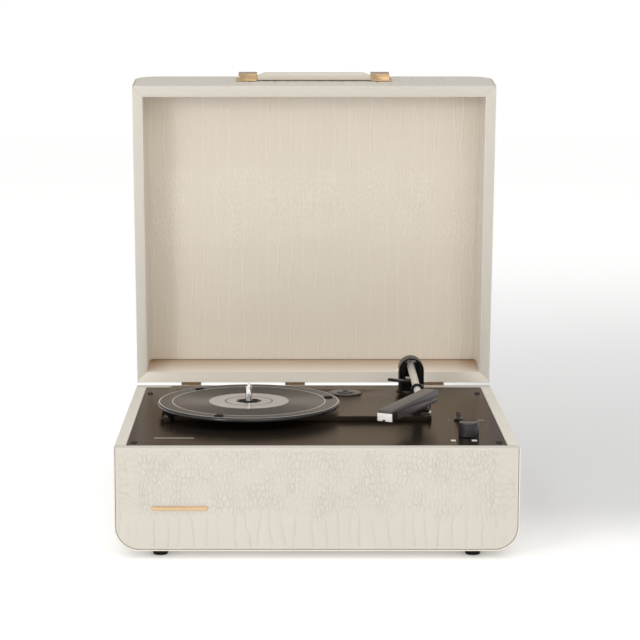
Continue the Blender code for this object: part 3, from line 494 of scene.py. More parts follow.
# The end boards take a darker copy of the cream hide: painted shade on the faces turned to the front
# lights.
end_shaded_hide = leatherette("end_shaded_hide", (0.62, 0.59, 0.535), (0.58, 0.545, 0.49), CREASE_SHADE)
base_front = piece_from("base_front", "case", front_mesh, end_shaded_hide)
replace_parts(base_front, "base_front_panel")
jack_window = (jack_x - JACK_HALF_W, jack_x + JACK_HALF_W, jack_z - JACK_HALF_H, jack_z + JACK_HALF_H)
back_mesh = panel_mesh("base_back", BASE_H, 1, BACK_STEP, base_place, 31, plain_small, jack_window)
base_back = piece_from("base_back", "case", back_mesh, end_shaded_hide)
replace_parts(base_back, "base_back_panel")


# ------------------------------------------------------------------ deck
# A pressed plate lies on wooden cleats inside the wall, held by four screws. Its dark paint has a
# metallic base, so it mirrors the cream lid softly and in brown.
def painted(name, colour, gloss, peel=0.04, scale=420.0, coat=0.0, sheen=0.5, metallic=0.0):
    """Paint, moulded plastic or metal: a little uneven in gloss, with a fine surface texture."""
    mat, tree, shader, node = wired(name)
    link = tree.links.new
    place = node("ShaderNodeTexCoord").outputs["Object"]
    haze = node("ShaderNodeTexNoise", Scale=18.0, Detail=4.0)
    link(place, haze.inputs["Vector"])
    tone = node("ShaderNodeMix", data_type="RGBA")
    tone.inputs["A"].default_value = (*colour, 1)
    tone.inputs["B"].default_value = (*[c * 1.25 for c in colour], 1)
    link(haze.outputs["Fac"], tone.inputs["Factor"])
    link(tone.outputs["Result"], shader.inputs["Base Color"])
    shine = node("ShaderNodeMapRange")
    shine.inputs["To Min"].default_value = gloss * 0.94
    shine.inputs["To Max"].default_value = gloss * 1.07
    link(haze.outputs["Fac"], shine.inputs["Value"])
    link(shine.outputs["Result"], shader.inputs["Roughness"])
    texture = node("ShaderNodeTexNoise", Scale=scale, Detail=2.0)
    link(place, texture.inputs["Vector"])
    bump = node("ShaderNodeBump", Strength=peel, Distance=0.0003)
    link(texture.outputs["Fac"], bump.inputs["Height"])
    link(bump.outputs["Normal"], shader.inputs["Normal"])
    shader.inputs["Specular IOR Level"].default_value = sheen
    shader.inputs["Metallic"].default_value = metallic
    if coat:
        shader.inputs["Coat Weight"].default_value = coat
        shader.inputs["Coat Roughness"].default_value = 0.08
    return mat


def dressed(name, look):
    """Gives a CAD node that keeps its shape its own look."""
    nodes[name].data.materials.clear()
    nodes[name].data.materials.append(look)


def mesh_from(bm, name):
    mesh = bpy.data.meshes.new(name)
    bm.to_mesh(mesh)
    bm.free()
    return mesh


def refined(name, look, body, width, segments=2, as_name=None, angle=30):
    """A copy of a CAD node with its doubles merged, flat faces joined and sharp edges rounded."""
    bm = bmesh.new()
    bm.from_mesh(nodes[name].data)
    bmesh.ops.remove_doubles(bm, verts=bm.verts, dist=0.01 * MM)
    bmesh.ops.dissolve_limit(bm, angle_limit=math.radians(1), verts=bm.verts, edges=bm.edges)
    inner = [e for e in bm.edges if len(e.link_faces) == 2]
    crisp = [e for e in inner if e.calc_face_angle(0) > math.radians(angle)]
    bmesh.ops.bevel(
        bm,
        geom=crisp,
        offset=width,
        segments=segments,
        profile=0.5,
        affect="EDGES",
        material=-1,
        clamp_overlap=True,
    )
    bmesh.ops.recalc_face_normals(bm, faces=bm.faces)
    piece = piece_from(as_name or name + "_made", body, mesh_from(bm, name), look, 32)
    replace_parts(piece, name)
    return piece


BROWN_MIRROR = (0.62, 0.50, 0.40, 1)
deck_black = painted("deck_black", (0.027, 0.0205, 0.0155), 0.25, peel=0.003, metallic=0.5)
deck_black.node_tree.nodes["Principled BSDF"].inputs["Specular Tint"].default_value = BROWN_MIRROR
satin_black = painted("satin_black", (0.014, 0.0115, 0.0105), 0.22, peel=0.03)
gloss_black = painted("gloss_black", (0.004, 0.0034, 0.0034), 0.27, peel=0.006, sheen=0.14)
dressed("deck_plate", deck_black)
timber = painted("cleat_timber", (0.42, 0.30, 0.18), 0.8, peel=0.4, scale=160.0)
dressed("deck_frame", timber)


# ------------------------------------------------------------------ feet and screws
# Moulded rubber feet are screwed under the floor; pan head screws hold the plate and the chassis.
rubber = painted("black_rubber", (0.012, 0.0112, 0.011), 0.75, peel=0.35, scale=900.0, sheen=0.12)
for foot in ("foot_front_left", "foot_front_right", "foot_back_left", "foot_back_right"):
    refined(foot, rubber, "case", 0.7 * MM)


def spun(profile, centre, steps=48):
    """A bmesh turned about an upright axis from a chain of (radius, height) in mm."""
    bm = bmesh.new()
    chain = [bm.verts.new((r * MM, 0, z * MM)) for r, z in profile]
    turned = chain + [bm.edges.new(pair) for pair in zip(chain, chain[1:])]
    upright = {"cent": (0, 0, 0), "axis": (0, 0, 1)}
    bmesh.ops.spin(bm, geom=turned, angle=math.tau, steps=steps, use_merge=True, **upright)
    bmesh.ops.remove_doubles(bm, verts=bm.verts, dist=0.002 * MM)
    bmesh.ops.recalc_face_normals(bm, faces=bm.faces)
    bmesh.ops.translate(bm, verts=bm.verts, vec=centre)
    return bm


def block(size, centre, turn=0.0):
    """A bmesh box, turned about its upright axis."""
    bm = bmesh.new()
    bmesh.ops.create_cube(bm, size=1.0)
    bmesh.ops.scale(bm, vec=size, verts=bm.verts)
    bmesh.ops.rotate(bm, cent=(0, 0, 0), matrix=Matrix.Rotation(turn, 3, "Z"), verts=bm.verts)
    bmesh.ops.translate(bm, vec=centre, verts=bm.verts)
    return bm


screw_black = painted("screw_black", (0.02, 0.019, 0.019), 0.22, peel=0.02)
HEAD_H = 2.1 * MM
CROSS_SLOT = (3.6 * MM, 0.75 * MM, 2 * MM)
CROSS_TURN = 0.4
pan_head = [(0, 2.1), (1.0, 2.06), (1.9, 1.86), (2.7, 1.45), (3.2, 0.95), (3.48, 0.4), (3.5, 0.2)]
shank = [(1.5, 0.2), (1.5, -12), (0, -12)]
for screw in (
    "deck_screw_front_left",
    "deck_screw_back_left",
    "deck_screw_front_right",
    "deck_screw_back_right",
    "chassis_screw_left",
    "chassis_screw_right",
):
    low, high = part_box(screw)
    head = ((low.x + high.x) / 2, (low.y + high.y) / 2, high.z - HEAD_H)
    slot_at = Vector(head) + Vector((0, 0, CROSS_SLOT[2]))
    slots = [block(CROSS_SLOT, slot_at, turn) for turn in (CROSS_TURN, CROSS_TURN + math.pi / 2)]
    screw_mesh = carved(screw, mesh_from(spun(pan_head + shank, head, 28), screw), *slots)
    made = piece_from(screw + "_made", "case", screw_mesh, screw_black)
    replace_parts(made, screw)


# ------------------------------------------------------------------ turntable chassis
# A raised black tray carries the platter bearing, the tonearm boss and the adapter's well. The motor
# with its small pulley hangs under the plate.
refined("turntable_chassis", deck_black, "case", 0.55 * MM, 3)
steel = painted("bright_steel", (0.62, 0.61, 0.60), 0.16, peel=0.01, metallic=1.0)
refined("spindle_bearing", steel, "case", 0.2 * MM)
refined("motor", steel, "case", 0.4 * MM)
refined("motor_pulley", steel, "pulley", 0.1 * MM)


# ------------------------------------------------------------------ platter
# A stamped steel platter, painted black: a rolled rim with a turned bead, and a stepped hub below
# that the belt runs on.
platter_low, platter_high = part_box("platter")
DISC_X = (platter_low.x + platter_high.x) / 2
DISC_Y = (platter_low.y + platter_high.y) / 2
DECK_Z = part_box("deck_plate")[1].z
DISC = (DISC_X, DISC_Y, DECK_Z)
platter_black = painted("platter_black", (0.022, 0.020, 0.020), 0.2, peel=0.01, coat=0.3)
rim_bead = [(99.6, 13.6), (99.9, 13.7), (100.7, 13.7), (101.15, 13.55), (101.4, 13.2), (101.5, 12.7)]
rim_fold = [(101.5, 11.3), (101.35, 10.7), (100.9, 10.3), (99.3, 10.3), (99.3, 11.4)]
belt_tier = [
    *[(76.0, 11.4), (73.2, 11.0), (72.0, 10.2), (72.0, 9.6), (71.6, 9.4), (71.6, 8.9)],
    *[(72.0, 8.7), (72.0, 7.3), (71.7, 7.0), (69.5, 7.0), (69.5, 11.4)],
]
hub = [(12.0, 11.4), (12.0, 7.4), (3.9, 7.4), (3.9, 13.6)]
rim_profile = [(3.9, 13.6), *rim_bead, *rim_fold, *belt_tier, *hub]
platter_mesh = mesh_from(spun(rim_profile, DISC, 128), "platter_made")
platter_made = piece_from("platter_made", "platter", platter_mesh, platter_black, 40)
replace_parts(platter_made, "platter")

# The mat is a pressed disc with fine turned grooves, a raised bead outside them and a plain printed
# centre, so light draws two fans across it.
mat_black = painted("mat_black", (0.018, 0.0145, 0.0135), 0.16, peel=0.0, sheen=0.33)
MAT_TOP = 14.3
GROOVE_W = 0.9
GROOVE_STEP = 0.95


def grooves(r_from, r_to, bottom):
    """Fine turned grooves between two radii, in mm."""
    chain = []
    while r_from < r_to:
        chain += [(r_from, MAT_TOP), (r_from + GROOVE_W / 2, bottom), (r_from + GROOVE_W, MAT_TOP)]
        r_from += GROOVE_STEP
    return chain


mat_chain = [(3.9, 14.0), (3.9, MAT_TOP), (45.0, MAT_TOP), *grooves(46.0, 83.0, 14.1)]
mat_chain += [(84.2, MAT_TOP), (84.5, 14.42), (85.3, 14.42), (85.6, MAT_TOP), *grooves(86.4, 97.6, 14.18)]
mat_chain += [(98.6, MAT_TOP), (98.9, 14.5), (99.8, 14.5), (100.2, MAT_TOP), (100.3, 14.0), (3.9, 14.0)]
mat_bm = spun(mat_chain, DISC, 144)
mat_made = piece_from("mat_made", "platter", mesh_from(mat_bm, "mat_made"), mat_black, 80)
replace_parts(mat_made, "platter_mat")

# Thin bands: a painted highlight line along each bead, and the printed grey centre with one dark ring and
# a dark hub.
bead_highlight = painted("bead_highlight_paint", (0.55, 0.53, 0.52), 0.35, peel=0.02)
print_grey = painted("grey_print", (0.33, 0.31, 0.295), 0.16, peel=0.0)
print_dark = painted("dark_print", (0.012, 0.010, 0.010), 0.6, peel=0.02, sheen=0.05)
PRINT_T = 0.1
HUB_R = 12.4
HUB_LOBE = 1.9
HUB_LOBES = 7


def band(name, r_in, r_out, height, look):
    """A thin ring on the platter, in mm; it carries the printed bands of the label and the painted
    highlight lines on the beads.
    """
    under = height - PRINT_T
    chain = [(r_in, height), (r_out, height), (r_out, under), (r_in, under), (r_in, height)]
    bm = spun(chain, DISC, 128)
    return piece_from(name, "platter", mesh_from(bm, name), look, 40)


band("bead_highlight_outer", 98.9, 99.8, 14.53, bead_highlight)
band("bead_highlight_inner", 84.5, 85.3, 14.45, bead_highlight)
band("print_centre", 14.0, 44.4, 14.34, print_grey)
band("print_ring", 25.4, 26.6, 14.37, print_dark)
hub_bm = bmesh.new()
bmesh.ops.create_circle(hub_bm, cap_ends=True, segments=96, radius=1.0)
for vert in hub_bm.verts:
    around = math.atan2(vert.co.y, vert.co.x)
    lobe = (HUB_R + HUB_LOBE * math.cos(HUB_LOBES * around)) * MM
    out_x, out_y = lobe * math.cos(around), lobe * math.sin(around)
    vert.co = Vector((DISC_X + out_x, DISC_Y + out_y, DECK_Z + MAT_TOP * MM))
hub_top = verts_of(bmesh.ops.extrude_face_region(hub_bm, geom=hub_bm.faces[:])["geom"])
bmesh.ops.translate(hub_bm, verts=hub_top, vec=(0, 0, PRINT_T * MM))
bmesh.ops.recalc_face_normals(hub_bm, faces=hub_bm.faces)
piece_from("print_hub", "platter", mesh_from(hub_bm, "print_hub"), print_dark)

# Three soft pads stand in the mat and grip the record.
pad_top = [(0, 15.7), (2.0, 15.7), (3.2, 15.6), (4.3, 15.35), (5.0, 14.95), (5.3, 14.5)]
pad = pad_top + [(5.3, 14.05), (0, 14.05)]
for number in (1, 2, 3):
    low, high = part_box(f"rubber_pad_{number}")
    pad_mesh = mesh_from(spun(pad, ((low.x + high.x) / 2, (low.y + high.y) / 2, DECK_Z), 32), "pad")
    pad_made = piece_from(f"grip_pad_{number}", "platter", pad_mesh, rubber)
    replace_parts(pad_made, f"rubber_pad_{number}")

# The spindle is polished steel with a rounded tip, standing in a small collar.
chrome = painted("chrome", (0.62, 0.60, 0.58), 0.09, peel=0.0, metallic=1.0)
tip = [(0, 34.0), (0.9, 33.85), (1.8, 33.4), (2.6, 32.6), (3.2, 31.4), (3.5, 30.0), (3.6, 28.6)]
stem = tip + [(3.6, 15.4), (3.75, 14.9), (3.75, 14.4), (3.6, 14.2), (3.6, -8.8), (0, -9.6)]
spindle_mesh = mesh_from(spun(stem, DISC), "spindle_made")
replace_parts(piece_from("spindle_made", "platter", spindle_mesh, chrome, 40), "spindle")


# ------------------------------------------------------------------ tonearm
# The arch of the bearing yoke is glossy moulded plastic; a plain metal tube runs down from it to a
# long plastic headshell, with a light cartridge and its stylus at the front. A bright cue lever stands
# at the front right corner of the tray.
refined("tonearm_yoke", gloss_black, "yoke", 1.1 * MM, 4)
refined("tonearm_pivot_pin", steel, "yoke", 0.2 * MM)
tube_metal = painted("arm_tube_metal", (0.66, 0.64, 0.62), 0.33, peel=0.03, scale=900.0, metallic=0.75)
tube_made = refined("tonearm_tube", tube_metal, "tonearm", 0.5 * MM, 3, angle=32)
# The block that holds the tube in the yoke is black.
BLOCK_REACH = 9.3 * MM
tube_made.data.materials.append(gloss_black)
pin_low, pin_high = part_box("tonearm_pivot_pin")
block_front = (pin_low.y + pin_high.y) / 2 - BLOCK_REACH
for polygon in tube_made.data.polygons:
    if polygon.center.y > block_front:
        polygon.material_index = 1

refined("tube_collar", gloss_black, "tonearm", 0.35 * MM, 2, angle=40)
shell_grey = painted("headshell_grey", (0.055, 0.047, 0.048), 0.3, peel=0.05, scale=800.0)
refined("headshell", shell_grey, "tonearm", 1.2 * MM, 3)
shell_white = painted("cartridge_white", (0.76, 0.72, 0.70), 0.3, peel=0.02)
refined("cartridge", shell_white, "tonearm", 0.5 * MM, 3)

# The cartridge's sides are wrapped in a black shell, painted shade for the dark gap beside it, so only
# its front shows pale.
GAP_SHADE_SETBACK = 1.4 * MM
GAP_SHADE_SCALE = (1.05, 1.05, 1.04)
gap_shade_bm = bmesh.new()
gap_shade_bm.from_mesh(nodes["cartridge"].data)
bmesh.ops.remove_doubles(gap_shade_bm, verts=gap_shade_bm.verts, dist=0.01 * MM)
front_face = max(gap_shade_bm.faces, key=lambda f: -f.normal.y * f.calc_area())
cut_to, cut_at = front_face.normal, front_face.calc_center_median() - front_face.normal * GAP_SHADE_SETBACK
cut_geom = gap_shade_bm.verts[:] + gap_shade_bm.edges[:] + gap_shade_bm.faces[:]
bmesh.ops.bisect_plane(gap_shade_bm, geom=cut_geom, plane_co=cut_at, plane_no=cut_to, clear_outer=True)
bmesh.ops.holes_fill(gap_shade_bm, edges=[e for e in gap_shade_bm.edges if e.is_boundary])
gap_shade_centre = sum((v.co for v in gap_shade_bm.verts), Vector()) / len(gap_shade_bm.verts)
about_centre = Matrix.Translation(-gap_shade_centre)
bmesh.ops.scale(gap_shade_bm, vec=GAP_SHADE_SCALE, space=about_centre, verts=gap_shade_bm.verts)
gap_shade_mesh = mesh_from(gap_shade_bm, "cartridge_gap_shade")
piece_from("cartridge_gap_shade", "tonearm", gap_shade_mesh, gloss_black)
refined("stylus", steel, "tonearm", 0.05 * MM, 1)
refined("arm_rest", satin_black, "case", 0.35 * MM, 2)
refined("lift_bar", satin_black, "lift_bar", 0.4 * MM, 2)
refined("cue_lever", steel, "cue_lever", 0.25 * MM, 2, angle=35)


# ------------------------------------------------------------------ controls
# A fluted volume knob, the speed lever in its slot and the adapter for large-hole singles.
knob_low, knob_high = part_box("volume_knob")
KNOB = ((knob_low.x + knob_high.x) / 2, (knob_low.y + knob_high.y) / 2, DECK_Z)
FLUTES = 36
FLUTE_DEPTH = 0.022
POINTER = (0.9 * MM, 7 * MM, 1.2 * MM)
POINTER_AT = (0, 6.0 * MM, 15.5 * MM)
skirt = [(0.0, -12.0), (3.0, -12.0), (3.0, 0.8), (10.6, 0.8), (10.95, 1.1), (11.0, 2.2)]
cap = [(10.85, 9.0), (10.7, 14.2), (10.4, 15.0), (9.8, 15.5), (9.0, 15.6), (8.4, 15.3), (0.0, 15.2)]
knob_bm = spun(skirt + cap, (0, 0, 0), FLUTES * 4)
for vert in knob_bm.verts:
    if 1.5 * MM < vert.co.z < 14.5 * MM and math.hypot(vert.co.x, vert.co.y) > 9 * MM:
        around = math.atan2(vert.co.y, vert.co.x)
        pull = 1 - FLUTE_DEPTH * (0.5 + 0.5 * math.cos(FLUTES * around))
        vert.co.x, vert.co.y = vert.co.x * pull, vert.co.y * pull
bmesh.ops.translate(knob_bm, verts=knob_bm.verts, vec=KNOB)
pointer = block(POINTER, Vector(KNOB) + Vector(POINTER_AT))
knob_black = painted("knob_black", (0.022, 0.020, 0.021), 0.24, peel=0.02)
knob_mesh = carved("knob", mesh_from(knob_bm, "knob"), pointer)
knob_made = piece_from("volume_knob_made", "knob", knob_mesh, knob_black, 40)
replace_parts(knob_made, "volume_knob")
refined("speed_lever", satin_black, "speed_lever", 0.4 * MM, 2)
refined("volume_pot", steel, "case", 0.3 * MM)
refined("speed_switch", satin_black, "case", 0.3 * MM)
refined("adapter_45", satin_black, "adapter", 0.25 * MM, 2)

# Plain printed marks beside the knob and the lever, and one short line where a name would be.
print_light = painted("light_print", (0.62, 0.58, 0.53), 0.5, peel=0.02)


def mark(name, x, y, wide, deep):
    """A low printed bar on the deck, case coordinates in mm."""
    bm = block((wide * MM, deep * MM, 0.08 * MM), (x * MM, CASE_MID_Y + y * MM, DECK_Z + 0.045 * MM))
    piece_from(name, "case", mesh_from(bm, name), print_light)


mark("mark_low_volume", 143.6, -136.5, 5.0, 8.0)
mark("mark_high_volume", 165.6, -136.5, 5.4, 8.0)
mark("mark_speed_low", 146.5, -29, 2.6, 1.2)
mark("mark_speed_high", 181.5, -29, 7.0, 1.2)
mark("mark_plain_line", -150.0, -124.0, 42.0, 1.6)


# ------------------------------------------------------------------ amplifier, speakers and sockets
# A small board hangs below the deck, two paper-cone speakers sit behind openings in the floor, and a
# plate of sockets fills a window at the back.
board_green = painted("board_green", (0.02, 0.11, 0.05), 0.4, peel=0.1)
dressed("amplifier_board", board_green)
paper = painted("speaker_paper", (0.028, 0.026, 0.024), 0.8, peel=0.5, scale=700.0)
for side in ("left", "right"):
    refined(f"speaker_{side}", paper, "case", 0.5 * MM)
refined("jack_panel", satin_black, "case", 0.4 * MM, 2)
jack_red = painted("jack_red", (0.42, 0.025, 0.02), 0.35, peel=0.03)
jack_white = painted("jack_white", (0.66, 0.64, 0.60), 0.35, peel=0.03)
SOCKET_SPOTS = (-21, -7, 7, 21)
# Inner and outer radius, then from and to beyond the back of the case, in mm.
WASHER = (4.3, 6.0, 1.75, 2.6)
SLEEVE = (2.1, 3.6, 6.7, 7.1)


def socket_ring(name, number, look, ring):
    """A ring round one socket's axis."""
    r_in, r_out, y_from, y_to = ring
    chain = [(r_in, y_from), (r_out, y_from), (r_out, y_to), (r_in, y_to), (r_in, y_from)]
    bm = spun(chain, (0, 0, 0), 40)
    bmesh.ops.rotate(bm, cent=(0, 0, 0), matrix=Matrix.Rotation(-math.pi / 2, 3, "X"), verts=bm.verts)
    centre = (jack_x + SOCKET_SPOTS[number] * MM, CASE_MID_Y + HALF_D, FLOOR_Z + jack_z)
    bmesh.ops.translate(bm, vec=centre, verts=bm.verts)
    bmesh.ops.recalc_face_normals(bm, faces=bm.faces)
    piece_from(name, "case", mesh_from(bm, name), look, 40)


for number in range(len(SOCKET_SPOTS)):
    tone = (jack_red, jack_white)[number % 2]
    socket_ring(f"socket_washer_{number + 1}", number, tone, WASHER)
    socket_ring(f"socket_sleeve_{number + 1}", number, steel, SLEEVE)


# ------------------------------------------------------------------ lid shell
# The lid is the same bent wall and two end boards, turned over and hung on the hinges behind. It
# stands 84 degrees open.
lid_closed_rim = BASE_H + 0.6 * MM
LID_T = 74 * MM
LID_OPEN = math.radians(84)
HINGE = np.array((0.0, 180.1 * MM, 109.2 * MM))
open_turn = np.array(Matrix.Rotation(-LID_OPEN, 3, "X"))


def lid_place(points):
    """Shell coordinates, floor at 0 and rim at the lid's thickness, to the open lid in the row frame."""
    closed = points * np.array((-1.0, 1.0, -1.0)) + np.array((0.0, 0.0, lid_closed_rim + LID_T))
    return base_place((closed - HINGE) @ open_turn.T + HINGE)


def lid_small(s, y):
    return np.clip(0.55 + 1.1 * drift(s, y, 70 * MM, 6), 0, 1)


lid_mesh = wrap_mesh("lid_wrap", LID_T, GRAIN_STEP, lid_place, 41, lid_small)
# The lid's wall takes a lighter copy of the cream hide: painted light for its inside.
lid_lit_hide = leatherette("lid_lit_hide", (0.82, 0.775, 0.705), (0.77, 0.72, 0.65), CREASE_SHADE)
lid_wrap = piece_from("lid_wrap", "lid", lid_mesh, lid_lit_hide)
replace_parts(lid_wrap, "lid_band")
# The lid's hinge end, the inside bottom of the open lid, takes a still lighter copy: painted light.
inner_lit_hide = leatherette("inner_lit_hide", (0.86, 0.80, 0.71), (0.82, 0.755, 0.665), CREASE_SHADE)
for piece_name, cad_name, front, seed, end_look in (
    ("lid_top_end", "lid_front_panel", -1, 51, end_shaded_hide),
    ("lid_hinge_end", "lid_back_panel", 1, 61, inner_lit_hide),
):
    end_mesh = panel_mesh(piece_name, LID_T, front, LID_END_STEP, lid_place, seed, plain_small)
    lid_end = piece_from(piece_name, "lid", end_mesh, end_look)
    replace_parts(lid_end, cad_name)


# ------------------------------------------------------------------ rim of the lid
# Four strips of the covering are folded over the lid's open edge and mitred at its corners, where a
# fine seam shows. The strips carry only the pebble grain, with no crocodile relief.
pebbled = {"painted_crease": CREASE_SHADE, "grain": 0.8, "gloss": 0.46}
# The rim strips take a darker copy of the cream hide: painted shade.
rim_shaded_hide = leatherette("rim_shaded_hide", (0.655, 0.62, 0.56), (0.62, 0.58, 0.52), **pebbled)
RIM_PROUD = 0.2 * MM
STRIP_T = 3 * MM
STRIP_ROUND = 0.9 * MM
SEAM = 0.4 * MM


def to_frame(bm, place):
    """Moves a bmesh drawn in a shell's coordinates to its place in the row frame."""
    spots = place(np.array([v.co for v in bm.verts]))
    for vert, spot in zip(bm.verts, spots):
        vert.co = spot
    bmesh.ops.recalc_face_normals(bm, faces=bm.faces)


rim_bm = bmesh.new()
bmesh.ops.create_grid(rim_bm, x_segments=1, y_segments=1, size=0.5)
rim_size = (2 * HALF_W + RIM_PROUD, 2 * HALF_D + RIM_PROUD, 1)
bmesh.ops.scale(rim_bm, vec=rim_size, verts=rim_bm.verts)
opening = rim_bm.faces[:]
bmesh.ops.inset_region(
    rim_bm, faces=opening, thickness=WALL + RIM_PROUD, use_boundary=True, use_even_offset=True
)
bmesh.ops.delete(rim_bm, geom=opening, context="FACES")
bmesh.ops.split_edges(rim_bm, edges=[e for e in rim_bm.edges if not e.is_boundary])
strips = rim_bm.faces[:]
bmesh.ops.inset_individual(rim_bm, faces=strips, thickness=SEAM, use_even_offset=True)
bmesh.ops.delete(rim_bm, geom=[f for f in rim_bm.faces if f not in strips], context="FACES")
bmesh.ops.translate(rim_bm, verts=rim_bm.verts, vec=(0, 0, LID_T - STRIP_T))
tops = verts_of(bmesh.ops.extrude_face_region(rim_bm, geom=rim_bm.faces[:])["geom"])
bmesh.ops.translate(rim_bm, verts=tops, vec=(0, 0, STRIP_T + RIM_PROUD))
upper = [e for e in rim_bm.edges if all(v in tops for v in e.verts)]
rounded = {"segments": 4, "profile": 0.5, "affect": "EDGES", "material": -1}
bmesh.ops.bevel(rim_bm, geom=upper, offset=STRIP_ROUND, **rounded)
to_frame(rim_bm, lid_place)
lid_rim = piece_from("lid_rim", "lid", mesh_from(rim_bm, "lid_rim"), rim_shaded_hide, 50)

# The strip along the hinges gets a paler copy of the rim hide: painted light, as the rim's bottom strip
# sits in shade.
rim_lit_hide = leatherette("rim_lit_hide", (0.85, 0.80, 0.72), (0.82, 0.77, 0.69), **pebbled)
lid_rim.data.materials.append(rim_lit_hide)
RIM_BACK_TOP = DECK_Z + 16.5 * MM
for polygon in lid_rim.data.polygons:
    if all(lid_rim.data.vertices[v].co.z < RIM_BACK_TOP for v in polygon.vertices):
        polygon.material_index = 1


# ------------------------------------------------------------------ liner of the lid
# A thin padded board pressed into the lid, covered in the same hide with long raised creases, painted
# pale as highlight, and one band of small scales across it. The board's hide is a lighter, warmer copy of
# the cream: painted warm bounce light. Its edge is rolled, so a shadow line runs round it.
CREASE_HIGHLIGHT = (1.0, 0.97, 0.90)
liner_lit_hide = leatherette("liner_lit_hide", (0.77, 0.71, 0.62), (0.73, 0.66, 0.56), CREASE_HIGHLIGHT)
LINER_AT = LID_T - 54 * MM
liner_x = HALF_W - WALL - 0.8 * MM
liner_y = HALF_D - WALL - 1.0 * MM
LINER_ROLL = 1.6 * MM
LINER_T = 4 * MM
BAND_HALF = 50 * MM
BAND_MID = -26 * MM
edge_rows = (0.0, 0.12, 0.35, 0.7, 1.1, 1.6)
liner_columns = run_stations(2 * liner_x, 1.05 * MM, edge_rows) - liner_x
liner_rows = run_stations(2 * liner_y, 1.7 * MM, edge_rows) - liner_y


def liner_shape(i, j):
    x, y = liner_columns[i], liner_rows[j]
    band_edge = BAND_HALF - np.abs(y - BAND_MID + 9 * MM * drift(x, y, 40 * MM, 4))
    scales = np.clip(band_edge / (9 * MM), 0, 1)
    scales = scales * np.clip(0.9 + 0.5 * drift(x, y, 45 * MM, 14), 0.4, 1)
    grain, crease = hide(x, y, scales, 71, spacing=15.5 * MM, vein=1.25)
    # The creases' painted highlight is made stronger.
    crease = crease * 1.6
    edge = np.minimum(liner_x - np.abs(x), liner_y - np.abs(y))
    fade = np.clip((edge - 1 * MM) / (4 * MM), 0, 1)
    z = LINER_AT - rolled(edge, LINER_ROLL) + grain * fade
    return lid_place(np.stack((-x, y, z), 1)), {"crease": crease * fade, "turned": np.zeros(len(x))}


liner_mesh = station_grid("lid_board", liner_columns, liner_rows, liner_shape)
liner_bm = bmesh.new()
liner_bm.from_mesh(liner_mesh)
into_lid = lid_place(np.array([(0, 0, 0), (0, 0, -LINER_T)]))
close_behind(liner_bm, liner_mesh, into_lid[1] - into_lid[0])
lid_board = piece_from("lid_board", "lid", liner_mesh, liner_lit_hide, 50)
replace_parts(lid_board, "lid_liner")


# ------------------------------------------------------------------ handle
# A padded strap in the case's leatherette lies flat in two gilt channels. Its middle is pulled out to
# carry the case, and the ends stay in the channels.
gold = painted("gilt_brass", (0.60, 0.43, 0.25), 0.22, peel=0.02, scale=700.0, metallic=1.0)
for side in ("left", "right"):
    refined(f"handle_bracket_{side}", gold, "lid", 0.45 * MM, 3)
strap_hide = leatherette(
    "strap_hide", (0.69, 0.645, 0.57), (0.65, 0.60, 0.525), CREASE_SHADE, grain=0.45, gloss=0.45
)
end_l_low, end_l_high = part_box("strap_end_left")
end_r_low, end_r_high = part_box("strap_end_right")
strap_from = min(end_l_low.x, end_r_low.x)
strap_to = max(end_l_high.x, end_r_high.x)
CHANNEL_END = 66.3 * MM
STRAP_W = 14 * MM
STRAP_T = 5.2 * MM
STRAP_SIDES = 24
STRAP_STEPS = 44
PADDING = 0.6
PAD_RUN = 9 * MM
strap_mid = Vector((0, -HALF_D - 0.6 * MM - STRAP_T / 2, LID_T - 43 * MM))


def strap_half(name, x_from, x_to):
    """One half of the strap, from its hidden end to the middle of the handle."""
    bm = bmesh.new()
    corners = []
    for k in range(STRAP_SIDES):
        turn = math.tau * k / STRAP_SIDES
        c, s = math.cos(turn), math.sin(turn)
        y = math.copysign(abs(c) ** 0.42, c) * STRAP_T / 2
        z = math.copysign(abs(s) ** 0.3, s) * STRAP_W / 2
        corners.append(bm.verts.new((x_from, strap_mid.y + y, strap_mid.z + z)))
    ring = [bm.edges.new((a, b)) for a, b in zip(corners, corners[1:] + corners[:1])]
    step = (x_to - x_from) / STRAP_STEPS
    for _ in range(STRAP_STEPS):
        grown = bmesh.ops.extrude_edge_only(bm, edges=ring)["geom"]
        bmesh.ops.translate(bm, verts=verts_of(grown), vec=(step, 0, 0))
        edges = [g for g in grown if isinstance(g, bmesh.types.BMEdge)]
        ring = [e for e in edges if all(v in grown for v in e.verts)]
        ring = [e for e in ring if abs(e.verts[0].co.x - e.verts[1].co.x) < 1e-7]
    bmesh.ops.holes_fill(bm, edges=[e for e in bm.edges if e.is_boundary])
    flat_side = strap_mid.y + STRAP_T / 2
    for vert in bm.verts:
        padding = min(max((CHANNEL_END - 0.5 * MM - abs(vert.co.x)) / PAD_RUN, 0), 1)
        padding = padding * padding * (3 - 2 * padding)
        vert.co.y = flat_side + (vert.co.y - flat_side) * (1 + PADDING * padding)
    to_frame(bm, lid_place)
    half = piece_from(name, "lid", mesh_from(bm, name), strap_hide, 50)
    half.parent = None
    del half["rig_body"]
    return half


for name, outer_x, cads in (
    ("strap_left", strap_from, ["handle_grip", "strap_end_left"]),
    ("strap_right", strap_to, ["strap_end_right"]),
):
    half = strap_half(name, -outer_x, 0.0)
    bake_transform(half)
    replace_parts(half, *cads)


# ------------------------------------------------------------------ hinges and badge
# Three bronzed butt hinges are screwed to the back; the front carries a plain gilt bar.
bronze = painted("bronze", (0.17, 0.105, 0.055), 0.3, peel=0.05, metallic=1.0)
for place_name in ("left", "middle", "right"):
    refined(f"hinge_{place_name}_base_leaf", bronze, "case", 0.25 * MM)
    refined(f"hinge_{place_name}_lid_leaf", bronze, "lid", 0.25 * MM)
refined("front_badge", gold, "case", 0.45 * MM, 3)


